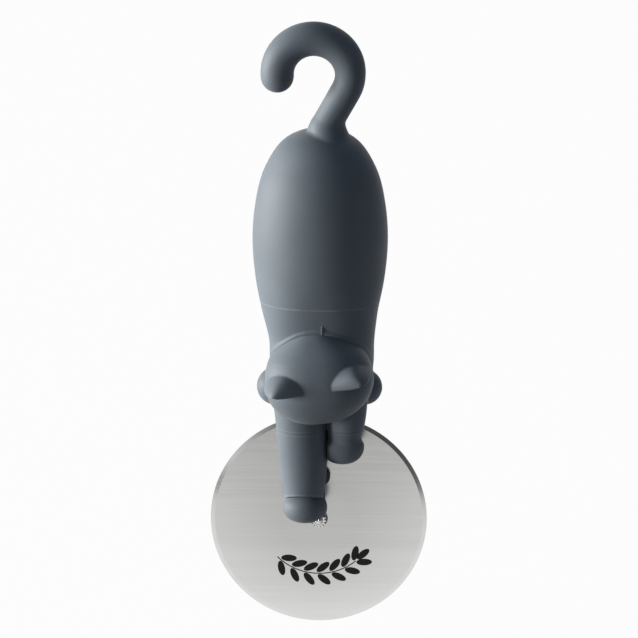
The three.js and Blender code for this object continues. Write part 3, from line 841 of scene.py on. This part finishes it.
def place_head(piece):
    piece.rotation_euler = (0, HEAD_ROLL, 0)
    piece.location = at(*HEAD_PLACE)
    return settle(piece)


def head(chest):
    """Skull and ears, cut away where the chest's seat holds them."""
    blank = skull()
    for side in (-1, 1):
        combine(blank, ear(side), "UNION")
    resurface(blank, HEAD_SKIN, HEAD_RELAX)
    place_head(blank)
    combine(blank, swell(copy_of(chest, "seat"), GAP - SEAT_DEPTH), "DIFFERENCE")
    blank.name = "cat_head"
    smooth(blank)
    # Marks the right ear's rim for a painted highlight
    paint_ear_highlight(blank)
    return blank


def paint_ear_highlight(piece):
    """Marks the outer rim of the right ear, for the finish to paint a highlight along it."""
    turned = Matrix.Translation(at(*HEAD_PLACE)) @ Matrix.Rotation(HEAD_ROLL, 4, "Y")
    rim = KDTree(EAR_RINGS + 1)
    for step in range(EAR_RINGS + 1):
        rim.insert(turned @ ear_edge(EAR_OUTER, step / EAR_RINGS), step)
    rim.balance()
    half_width, depth = EAR_HIGHLIGHT
    ear_highlight = piece.data.attributes.new("ear_highlight", "FLOAT", "POINT")
    for number, vertex in enumerate(piece.data.vertices):
        distance = rim.find(vertex.co)[2]
        ear_highlight.data[number].value = depth * max(0, 1 - distance / half_width)


def chest_shell(chest):
    """The chest with the head's seat, the tang's slot, both leg stubs and the seam's lip."""
    bead = place_head(skull(SEAT_GAP + SEAT_BEAD_WIDTH))
    combine(bead, swell(copy_of(chest, "swollen"), SEAT_BEAD_HEIGHT), "INTERSECT")
    seat = place_head(skull(SEAT_GAP))
    combine(seat, swell(copy_of(chest, "floor"), -SEAT_DEPTH), "DIFFERENCE")
    combine(chest, bead, "UNION")
    resurface(chest, FINE_SKIN, FINE_RELAX)
    combine(chest, seat, "DIFFERENCE")
    z = NAPE_MARK[1]
    mark_y = -body_half_width(z) * BODY_DEPTH
    combine(chest, ball("mark", at(NAPE_MARK[0], mark_y, z), NAPE_MARK_HALF), "UNION")
    cut_plug_seat(chest, PLUG_HEIGHTS["belly_plug_front"])
    low = at(-TANG_HALF_WIDTH - GAP, BRACKET_FRONT - GAP + LEG_CLEARANCE, 0)
    high = at(TANG_HALF_WIDTH + GAP, BRACKET_BACK + GAP, CAVITY_BOTTOM - BODY_WALL / 2)
    combine(chest, block("slot", low, high), "DIFFERENCE")
    low = at(*[place - size for place, size in zip(LEG_PARTING, LEG_PARTING_HALF)])
    high = at(*[place + size for place, size in zip(LEG_PARTING, LEG_PARTING_HALF)])
    combine(chest, block("parting", low, high), "DIFFERENCE")
    chest = hollow(chest, SEAM_NORMAL, CAVITY_BOTTOM, SEAM_BEAD)
    chest = end_stubs(chest)
    chest.name = "chest_body"
    return smooth(chest)


def end_stubs(chest):
    """Ends both leg stubs at their seam, each rim rolled about its own middle."""
    down = -UP
    rim_z = LEG_SEAM_Z + SEAM_GAP / 2 + LEG_LIP
    for level in (LONG_SEAM, SHORT_SEAM):
        centre, half_width = at(level[0], LEG_Y, rim_z), level[2]
        edit(chest)
        shell = bmesh.from_edit_mesh(chest.data)
        for face in shell.faces:
            near = abs(face.calc_center_median().x - centre.x) < half_width + GAP
            face.select_set(near and face.calc_center_median().z < rim_z + AXLE.z + LEG_OVERLAP)
        bmesh.update_edit_mesh(chest.data)
        bpy.ops.mesh.bisect(plane_co=centre, plane_no=down, clear_outer=True, threshold=CUT_THRESHOLD)
        roll_lip(centre, down, half_width, LEG_LIP)
        bpy.ops.mesh.edge_face_add()
        chest = close_edit(chest.name)
    return chest


# Wheel, hub and bracket
def cutting_wheel():
    flat = WHEEL_RADIUS - BEVEL_WIDTH
    outline = [
        (WHEEL_HOLE, WHEEL_FRONT), (flat / 2, WHEEL_FRONT), (flat, WHEEL_FRONT),
        (WHEEL_RADIUS, AXLE.y - EDGE_HALF), (WHEEL_RADIUS, AXLE.y + EDGE_HALF),
        (flat, WHEEL_BACK), (flat / 2, WHEEL_BACK), (WHEEL_HOLE, WHEEL_BACK), (WHEEL_HOLE, WHEEL_FRONT),
    ]
    wheel = turn("steel_wheel", outline, WHEEL_SIDES)
    return smooth(wheel, WHEEL_DEGREES)


def slip_ring(name, inner, outer, front, back):
    """A flat ring on the axle with its outer edges broken."""
    edge = RING_EDGE * min(outer - inner, back - front)
    outline = [
        (inner, front), (outer - edge, front), (outer, front + edge), (outer, back - edge),
        (outer - edge, back), (inner, back), (inner, front),
    ]
    ring = turn(name, outline, HUB_SIDES)
    return smooth(ring)


def axle_pin():
    """The pin with its domed head behind the wheel."""
    head_front = REAR_WASHER_BACK + HUB_CLEARANCE
    outline = [(0, AXLE_END), (AXLE_RADIUS - LIP, AXLE_END), (AXLE_RADIUS, AXLE_END + LIP)]
    outline += [(AXLE_RADIUS, head_front), (AXLE_HEAD_RADIUS, head_front)]
    for angle in quarter(DOME_STEPS)[:-1]:
        rise = AXLE_HEAD_RIM + AXLE_HEAD_CROWN * math.sin(angle)
        outline.append((AXLE_HEAD_RADIUS * math.cos(angle), head_front + rise))
    outline.append((0, head_front + AXLE_HEAD_RIM + AXLE_HEAD_CROWN))
    pin = turn("axle_pin", outline, HUB_SIDES)
    return smooth(pin)


def lock_cap():
    """A toothed cap pressed on the axle's front end: a star drawn out into a dome."""
    back = at(0, LOCK_CAP_BACK, 0)
    disc(TOOTH_POINTS * LOCK_CAP_TEETH, LOCK_CAP_RADIUS, back, ALONG_Y)
    star = bmesh.from_edit_mesh(bpy.context.active_object.data)
    star.verts.ensure_lookup_table()
    for number, vertex in enumerate(star.verts):
        vertex.select_set(number % TOOTH_POINTS < TOOTH_POINTS / 2)
    star.select_flush_mode()
    bmesh.update_edit_mesh(bpy.context.active_object.data)
    scale_about(back, (LOCK_CAP_ROOT / LOCK_CAP_RADIUS,) * 3)
    bpy.ops.mesh.select_all(action="SELECT")
    extrude((0, -LOCK_CAP_RIM, 0))
    centre, radius = back - Vector((0, LOCK_CAP_RIM, 0)), LOCK_CAP_RADIUS
    for angle in quarter(DOME_STEPS)[:-1]:
        rise = LOCK_CAP_RIM + (LOCK_CAP_HEIGHT - LOCK_CAP_RIM) * math.sin(angle)
        next_centre = back - Vector((0, rise, 0))
        centre, radius = step_ring(centre, radius, next_centre, LOCK_CAP_DOME * math.cos(angle))
    cap = close_edit("toothed_cap")
    bore = AXLE_RADIUS + HUB_CLEARANCE
    combine(cap, rod_along_y("bore", back, bore, AXLE_END - HUB_CLEARANCE, LOCK_CAP_BACK + LIP), "DIFFERENCE")
    return smooth(cap, CAP_DEGREES)


def arc(centre_x, centre_z, radius, start, end):
    """Points (x, z) round part of a circle, between two angles in degrees."""
    points = []
    for step in range(BRACKET_STEPS + 1):
        angle = math.radians(blend(start, end, step / BRACKET_STEPS))
        points.append((centre_x + radius * math.cos(angle), centre_z + radius * math.sin(angle)))
    return points


def plate(name, outline, front, back):
    """An outline of (x, z), filled and given its thickness."""
    draw([at(x, front, z) for x, z in outline])
    bpy.ops.mesh.edge_face_add()
    extrude((0, back - front, 0))
    return close_edit(name)


def wheel_bracket():
    """The black plate from the body's core down to the axle, with a lobe beside the long leg."""
    outline = arc(*AXLE_HOLE, BRACKET_END_RADIUS, *BRACKET_END_ARC)
    outline += arc(*BRACKET_LOBE, *BRACKET_LOBE_ARC)
    outline += [BRACKET_RIGHT, (TANG_HALF_WIDTH, BRACKET_SHOULDER), (TANG_HALF_WIDTH, TANG_TOP)]
    outline += [(-TANG_HALF_WIDTH, TANG_TOP), (-TANG_HALF_WIDTH, BRACKET_SHOULDER), *BRACKET_LEFT]
    bracket = plate("bracket_plate", outline, BRACKET_FRONT, BRACKET_BACK)
    round_edges(bracket, BRACKET_ROUNDING)
    front, back = BRACKET_FRONT - LIP, BRACKET_BACK + LIP
    for x, z in (AXLE_HOLE, *TANG_SCREWS, *LEG_SCREWS):
        combine(bracket, rod_along_y("hole", at(x, 0, z), SCREW_HOLE_RADIUS, front, back), "DIFFERENCE")
    pocket_front = BRACKET_BACK - SCREW_POCKET_DEPTH
    for x, z in LEG_SCREWS:
        pocket = rod_along_y("pocket", at(x, 0, z), SCREW_POCKET_RADIUS, pocket_front, back)
        combine(bracket, pocket, "DIFFERENCE")
    return smooth(bracket)


# Print: a leafy sprig along an arc below the axle
def leaf():
    """One oval leaf, flat on the wheel's front face, at the axle."""
    centre = at(0, PRINT_BACK, 0)
    disc(LEAF_SIDES, 1, centre, ALONG_Y)
    scale_about(centre, (LEAF_HALF_LENGTH, 1, LEAF_HALF_WIDTH))
    extrude((0, -PRINT_THICKNESS, 0))
    return close_edit("leaf")


def place_print(mark, radius, angle, turned):
    """Sets one copy of a mark at a radius and angle about the axle, turned in the wheel's plane."""
    copy = copy_of(mark, mark.name + "_copy")
    swing = Matrix.Translation(about_axle(radius, angle)) @ Matrix.Rotation(-turned, 4, "Y")
    copy.matrix_world = swing @ Matrix.Translation(-at(0, 0, 0))
    return settle(copy)


def stem():
    """A thin strip spun about the axle from one end of the sprig to the other."""
    start = SPRIG_MIDDLE - SPRIG_SPREAD - STEM_BARE
    middle = about_axle(SPRIG_RADIUS, start, PRINT_BACK - PRINT_THICKNESS / 2)
    clear_selection()
    bpy.ops.mesh.primitive_plane_add(size=1, location=middle, rotation=(0, -start, 0))
    strip = bpy.context.active_object
    strip.scale = (STEM_WIDTH, PRINT_THICKNESS, 1)
    edit(settle(strip))
    swing = 2 * SPRIG_SPREAD + STEM_BARE
    bpy.ops.mesh.spin(steps=STEM_STEPS, angle=swing, center=at(0, 0, 0), axis=(0, 1, 0))
    return close_edit("stem")


def wheel_print():
    """Leaves in pairs along the stem, and one at its end."""
    marks = [stem()]
    leaf_mark = leaf()
    for number in range(LEAF_PAIRS):
        share = number / (LEAF_PAIRS - 1)
        angle = SPRIG_MIDDLE - SPRIG_SPREAD + 2 * SPRIG_SPREAD * share
        along = angle + math.pi / 2
        for side in (-1, 1):
            reach = SPRIG_RADIUS + side * LEAF_REACH
            marks.append(place_print(leaf_mark, reach, angle + LEAF_ADVANCE, along - side * LEAF_SPLAY))
    end = SPRIG_MIDDLE + SPRIG_SPREAD
    marks.append(place_print(leaf_mark, SPRIG_RADIUS, end + 2 * LEAF_ADVANCE, end + math.pi / 2))
    bpy.data.objects.remove(leaf_mark)
    clear_selection()
    for mark in marks:
        mark.select_set(True)
    bpy.context.view_layer.objects.active = marks[0]
    bpy.ops.object.join()
    marks[0].name = "sprig_print"
    return marks[0]


# Finishes
def new_finish(name):
    finish = bpy.data.materials.new(name)
    finish.use_nodes = True
    shader = finish.node_tree.nodes["Principled BSDF"]
    return finish, shader


def add_node(owner, kind, **settings):
    node = owner.node_tree.nodes.new(kind)
    for name, value in settings.items():
        setattr(node, name, value)
    return node


def feed(owner, value, socket):
    """Gives a socket its value, or links it to the socket that the value comes from."""
    if isinstance(value, bpy.types.NodeSocket):
        owner.node_tree.links.new(value, socket)
    else:
        socket.default_value = value


def feed_named(owner, node, **values):
    """Feeds several sockets, whose names are given with an underscore for each space."""
    for name, value in values.items():
        feed(owner, value, node.inputs[name.replace("_", " ")])


def calculate(owner, operation, *values):
    """A sum on one or two values, each a number or the socket that it comes from."""
    node = add_node(owner, "ShaderNodeMath", operation=operation)
    for value, socket in zip(values, node.inputs):
        feed(owner, value, socket)
    return node.outputs["Value"]


def measure(owner, coordinates, operation, vector):
    """Each place's distance from a point, or how far it lies along a direction."""
    place = add_node(owner, "ShaderNodeTexCoord")
    node = add_node(owner, "ShaderNodeVectorMath", operation=operation)
    feed(owner, place.outputs[coordinates], node.inputs[0])
    feed(owner, vector, node.inputs[1])
    return node.outputs["Value"]


def mottle(finish, scale, detail=NOISE_DETAIL, stretch=(1, 1, 1)):
    """Noise on the piece's own coordinates, stretched along an axis where the finish runs that way."""
    place = add_node(finish, "ShaderNodeTexCoord")
    mapping = add_node(finish, "ShaderNodeMapping")
    noise = add_node(finish, "ShaderNodeTexNoise")
    feed_named(finish, mapping, Vector=place.outputs["Object"], Scale=stretch)
    feed_named(finish, noise, Vector=mapping.outputs["Vector"], Scale=scale, Detail=detail)
    return noise.outputs["Fac"]


def shade_ramp(owner, factor, stops):
    """Colours along a ramp, each at its own place."""
    ramp = add_node(owner, "ShaderNodeValToRGB")
    colours = ramp.color_ramp.elements
    colours.remove(colours[1])
    colours[0].position = stops[0][0]
    colours[0].color = (*stops[0][1], 1)
    for place, colour in stops[1:]:
        colours.new(place).color = (*colour, 1)
    feed(owner, factor, ramp.inputs["Fac"])
    return ramp.outputs["Color"]


def shade_between(owner, factor, dark, light):
    return shade_ramp(owner, factor, list(zip(NOISE_RANGE, (dark, light))))


def range_between(owner, factor, results, source=NOISE_RANGE):
    """Spreads a range of the factor over the results, and holds it at their ends."""
    spread = add_node(owner, "ShaderNodeMapRange")
    feed_named(owner, spread, Value=factor, From_Min=source[0], From_Max=source[1])
    feed_named(owner, spread, To_Min=results[0], To_Max=results[1])
    return spread.outputs["Result"]


def mix_colours(owner, factor, first, second):
    mix = add_node(owner, "ShaderNodeMix", data_type="RGBA")
    feed_named(owner, mix, Factor=factor, A=first, B=second)
    return mix.outputs["Result"]


def mix_shaders(owner, share, first, second):
    mix = add_node(owner, "ShaderNodeMixShader")
    for value, socket in zip((share, first, second), mix.inputs):
        feed(owner, value, socket)
    return mix.outputs["Shader"]


def roughen(finish, shader, factor, strength, depth):
    bump = add_node(finish, "ShaderNodeBump")
    feed_named(finish, bump, Height=factor, Strength=strength, Distance=depth)
    feed(finish, bump.outputs["Normal"], shader.inputs["Normal"])


def plain_finish(name, dark, light, metallic, rough, grain):
    """A finish with a little cloudiness in its colour and gloss and a fine grain."""
    finish, shader = new_finish(name)
    clouds, fine = mottle(finish, grain * CLOUDS_PER_GRAIN), mottle(finish, grain)
    feed(finish, shade_between(finish, clouds, dark, light), shader.inputs["Base Color"])
    feed(finish, range_between(finish, clouds, rough), shader.inputs["Roughness"])
    shader.inputs["Metallic"].default_value = metallic
    roughen(finish, shader, fine, *PLAIN_BUMP)
    return finish


def painted_highlight_line(finish, point, normal, half_width, depth):
    """How strong a painted highlight is along a seam: most along its plane and nothing beyond half the line's
    width from it.
    """
    along = measure(finish, "Object", "DOT_PRODUCT", normal)
    apart = calculate(finish, "ABSOLUTE", calculate(finish, "SUBTRACT", along, normal.dot(point)))
    return range_between(finish, apart, (0, depth), (half_width, half_width / 2))


def soft_grey():
    """Slate grey plastic with a satin soft-touch skin, and painted highlights along the seams between the
    mouldings and on the right ear's rim.
    """
    finish, shader = new_finish("soft_grey_plastic")
    clouds, fine = mottle(finish, GREY_CLOUDS), mottle(finish, *GREY_GRAIN)
    highlight_patches = range_between(finish, mottle(finish, HIGHLIGHT_PATCHES), HIGHLIGHT_SHARE)
    # Painted highlights: pale lines along the lips of the body seam, beside the leg seam and on the paw
    # crease, in patches
    seams = [(at(0, 0, SEAM_Z), SEAM_NORMAL, SEAM_HIGHLIGHT)]
    seams += [(at(0, 0, LEG_SEAM_Z + side * LEG_BAND), UP, LEG_HIGHLIGHT) for side in (-1, 1)]
    seams.append((at(0, LEG_Y, CREASE_Z + CREASE_HIGHLIGHT_RISE), CREASE_NORMAL, CREASE_HIGHLIGHT))
    highlit = 0
    for point, normal, line_size in seams:
        highlit = calculate(finish, "MAXIMUM", highlit, painted_highlight_line(finish, point, normal, *line_size))
    # The right ear's rim gets a painted highlight as well
    ear_highlight_share = add_node(finish, "ShaderNodeAttribute", attribute_name="ear_highlight").outputs["Fac"]
    painted_highlight = calculate(finish, "MAXIMUM", calculate(finish, "MULTIPLY", highlit, highlight_patches), ear_highlight_share)
    plain = shade_between(finish, clouds, GREY_DARK, GREY_LIGHT)
    feed(finish, mix_colours(finish, painted_highlight, plain, (*GREY_HIGHLIGHT, 1)), shader.inputs["Base Color"])
    feed(finish, range_between(finish, clouds, GREY_ROUGH), shader.inputs["Roughness"])
    shader.inputs["Specular IOR Level"].default_value = GREY_GLOSS
    shader.inputs["Sheen Weight"].default_value = GREY_SHEEN
    shader.inputs["Sheen Roughness"].default_value = GREY_SHEEN_ROUGH
    roughen(finish, shader, fine, *GREY_BUMP)
    return finish


def brushed_steel():
    """Blade steel brushed straight across, with a painted reflection that brightens its colour towards the
    rim.
    """
    finish, shader = new_finish("brushed_blade_steel")
    lines, streaks = mottle(finish, *STEEL_LINES), mottle(finish, *STEEL_STREAKS)
    # Painted reflection: the colour is scaled up from the centre to the rim
    out = measure(finish, "Object", "DISTANCE", AXLE)
    rim_light = add_node(finish, "ShaderNodeVectorMath", operation="SCALE")
    feed(finish, shade_between(finish, streaks, STEEL_DARK, STEEL_LIGHT), rim_light.inputs[0])
    feed(finish, range_between(finish, out, STEEL_RIM_LIGHT, (STEEL_FLAT, WHEEL_RADIUS)), rim_light.inputs["Scale"])
    feed(finish, rim_light.outputs["Vector"], shader.inputs["Base Color"])
    feed(finish, range_between(finish, lines, STEEL_ROUGH), shader.inputs["Roughness"])
    shader.inputs["Metallic"].default_value = 1
    roughen(finish, shader, lines, *STEEL_BUMP)
    return finish


# Studio: floor, lamps, white surround and the photograph's camera
def seen_in_metal(owner, rays):
    """1 for what a mirror or a glass sees, and 0 for the rest."""
    return calculate(owner, "MAXIMUM", rays["Is Glossy Ray"], rays["Is Transmission Ray"])


def studio_floor():
    """A floor that looks white to the camera, darkens in mirrors towards the front and lights as grey."""
    clear_selection()
    bpy.ops.mesh.primitive_plane_add(size=FLOOR_SIZE, location=(AXLE.x, 0, cad_low.z - FLOOR_DROP))
    floor = bpy.context.active_object
    floor.name = "studio_floor"
    finish, shader = new_finish("pale_floor")
    shader.inputs["Base Color"].default_value = (*FLOOR_GREY, 1)
    shader.inputs["Roughness"].default_value = FLOOR_ROUGH
    rays = add_node(finish, "ShaderNodeLightPath").outputs
    nearer = measure(finish, "Object", "DOT_PRODUCT", (0, -1, 0))
    fall = shade_ramp(finish, range_between(finish, nearer, (0, 1), (0, FLOOR_REACH)), FLOOR_FALL)
    glow = add_node(finish, "ShaderNodeEmission")
    feed(finish, calculate(finish, "MAXIMUM", fall, rays["Is Camera Ray"]), glow.inputs["Strength"])
    seen = calculate(finish, "MAXIMUM", rays["Is Camera Ray"], seen_in_metal(finish, rays))
    share = calculate(finish, "MULTIPLY", seen, FLOOR_GLOW)
    mix = mix_shaders(finish, share, shader.outputs["BSDF"], glow.outputs["Emission"])
    feed(finish, mix, finish.node_tree.nodes["Material Output"].inputs["Surface"])
    floor.data.materials.append(finish)


def lamp(name, place, size, power, tint):
    clear_selection()
    bpy.ops.object.light_add(type="AREA", location=place)
    light = bpy.context.active_object
    light.name = name
    light.data.shape = "RECTANGLE"
    light.data.size, light.data.size_y = size
    light.data.energy = power
    light.data.color = tint
    light.rotation_euler = (AIM - Vector(place)).to_track_quat("-Z", "Y").to_euler()
    light.visible_camera = False


def surround():
    """Dim pale blue light. The camera sees white all round, and mirrors see it on the bright side only."""
    world = bpy.data.worlds.new("studio_surround")
    bpy.context.scene.world = world
    world.use_nodes = True
    world.node_tree.nodes.clear()
    rays = add_node(world, "ShaderNodeLightPath").outputs
    facing = measure(world, "Generated", "DOT_PRODUCT", BRIGHT_WAY)
    bright = range_between(world, facing, (0, 1), BRIGHT_EDGE)
    in_metal = calculate(world, "MULTIPLY", seen_in_metal(world, rays), bright)
    seen = calculate(world, "MAXIMUM", rays["Is Camera Ray"], in_metal)
    tint = mix_colours(world, rays["Is Glossy Ray"], (*SURROUND_TINT, 1), (*SURROUND_PLAIN, 1))
    dim = add_node(world, "ShaderNodeBackground")
    feed_named(world, dim, Color=tint, Strength=SURROUND_LEVEL)
    white = add_node(world, "ShaderNodeBackground")
    white.inputs["Color"].default_value = (1, 1, 1, 1)
    mix = mix_shaders(world, seen, dim.outputs["Background"], white.outputs["Background"])
    feed(world, mix, add_node(world, "ShaderNodeOutputWorld").inputs["Surface"])


def photo_camera():
    """A long lens at the photograph's angle, a little above the handle and rolled by a quarter degree."""
    right = Vector((math.cos(VIEW_AZIMUTH), math.sin(VIEW_AZIMUTH), 0))
    level = Vector((-math.sin(VIEW_AZIMUTH), math.cos(VIEW_AZIMUTH), 0))
    forward = level * math.cos(VIEW_ELEVATION) - Vector((0, 0, math.sin(VIEW_ELEVATION)))
    up = level * math.sin(VIEW_ELEVATION) + Vector((0, 0, math.cos(VIEW_ELEVATION)))
    across = right * math.cos(VIEW_ROLL) + up * math.sin(VIEW_ROLL)
    upright = up * math.cos(VIEW_ROLL) - right * math.sin(VIEW_ROLL)
    aim = AXLE + upright * AIM_UP + across * AIM_RIGHT
    bpy.ops.object.camera_add(location=aim - forward * VIEW_DISTANCE)
    camera = bpy.context.active_object
    camera.name = "photo_camera"
    turned = Matrix((across, upright, -forward)).transposed()
    camera.rotation_euler = turned.to_euler()
    camera.data.sensor_width = SENSOR_WIDTH
    camera.data.lens = SENSOR_WIDTH * VIEW_DISTANCE / VIEW_WIDTH
    camera.data.clip_end = VIEW_CLIP
    bpy.context.scene.camera = camera


# Assembly: each new piece rides on its body and stands for its solid
def dress(piece, finish, body, slot, *nodes):
    piece.data.materials.clear()
    piece.data.materials.append(finish)
    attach(piece, body)
    if nodes:
        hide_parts(*nodes)


grey = soft_grey()
steel = brushed_steel()
ink = plain_finish("black_ink", *INK)
ink.node_tree.nodes["Principled BSDF"].inputs["Specular IOR Level"].default_value = INK_GLOSS
black = plain_finish("black_coated_metal", *BLACK_COAT)
chrome = plain_finish("bright_chrome", *CHROME)
zinc = plain_finish("zinc_plate", *ZINC)
nylon = plain_finish("natural_nylon", *NYLON)

dress(hind_body(), grey, "cat", "grey_plastic", "rear_body")
chest = chest_blank()
dress(head(chest), grey, "cat", "grey_plastic", "head")
dress(chest_shell(chest), grey, "cat", "grey_plastic", "front_body")
dress(long_leg(), grey, "cat", "grey_plastic", "long_leg")
dress(long_paw(), grey, "cat", "grey_plastic", "long_paw")
dress(short_paw(), grey, "cat", "grey_plastic", "short_paw")
for node, z in PLUG_HEIGHTS.items():
    dress(belly_plug(node + "_cap", z), grey, "cat", "grey_plastic", node)

dress(cutting_wheel(), steel, "wheel", "blade_steel", "cutting_wheel")
dress(wheel_print(), ink, "wheel", "black_metal")
bush_bore, washer_bore = AXLE_RADIUS + RUNNING_CLEARANCE, AXLE_RADIUS + HUB_CLEARANCE
slip_rings = [
    ("hub_bush", "wheel", "wheel_bush",
     bush_bore, BUSH_RADIUS, BUSH_FRONT, BUSH_BACK),
    ("near_washer", "cat", "front_washer",
     washer_bore, FRONT_WASHER_RADIUS, FRONT_WASHER_FRONT, FRONT_WASHER_BACK),
    ("far_washer", "cat", "rear_washer",
     washer_bore, REAR_WASHER_RADIUS, REAR_WASHER_FRONT, REAR_WASHER_BACK),
]
for name, body, node, *sizes in slip_rings:
    dress(slip_ring(name, *sizes), nylon, body, "nylon", node)
dress(axle_pin(), chrome, "cat", "bright_metal", "axle")
dress(lock_cap(), chrome, "cat", "bright_metal", "lock_cap")
dress(wheel_bracket(), black, "cat", "black_metal", "wheel_bracket")

for node, solid in frame["nodes"].items():
    if not solid.hide_render:
        solid.data.materials.clear()
        solid.data.materials.append(zinc if "screw" in node else nylon)

studio_floor()
lamp("left_softbox", KEY_PLACE, KEY_SIZE, KEY_POWER, KEY_TINT)
lamp("right_fill", FILL_PLACE, FILL_SIZE, FILL_POWER, FILL_TINT)
surround()
photo_camera()
bpy.context.scene.view_settings.view_transform = "Standard"
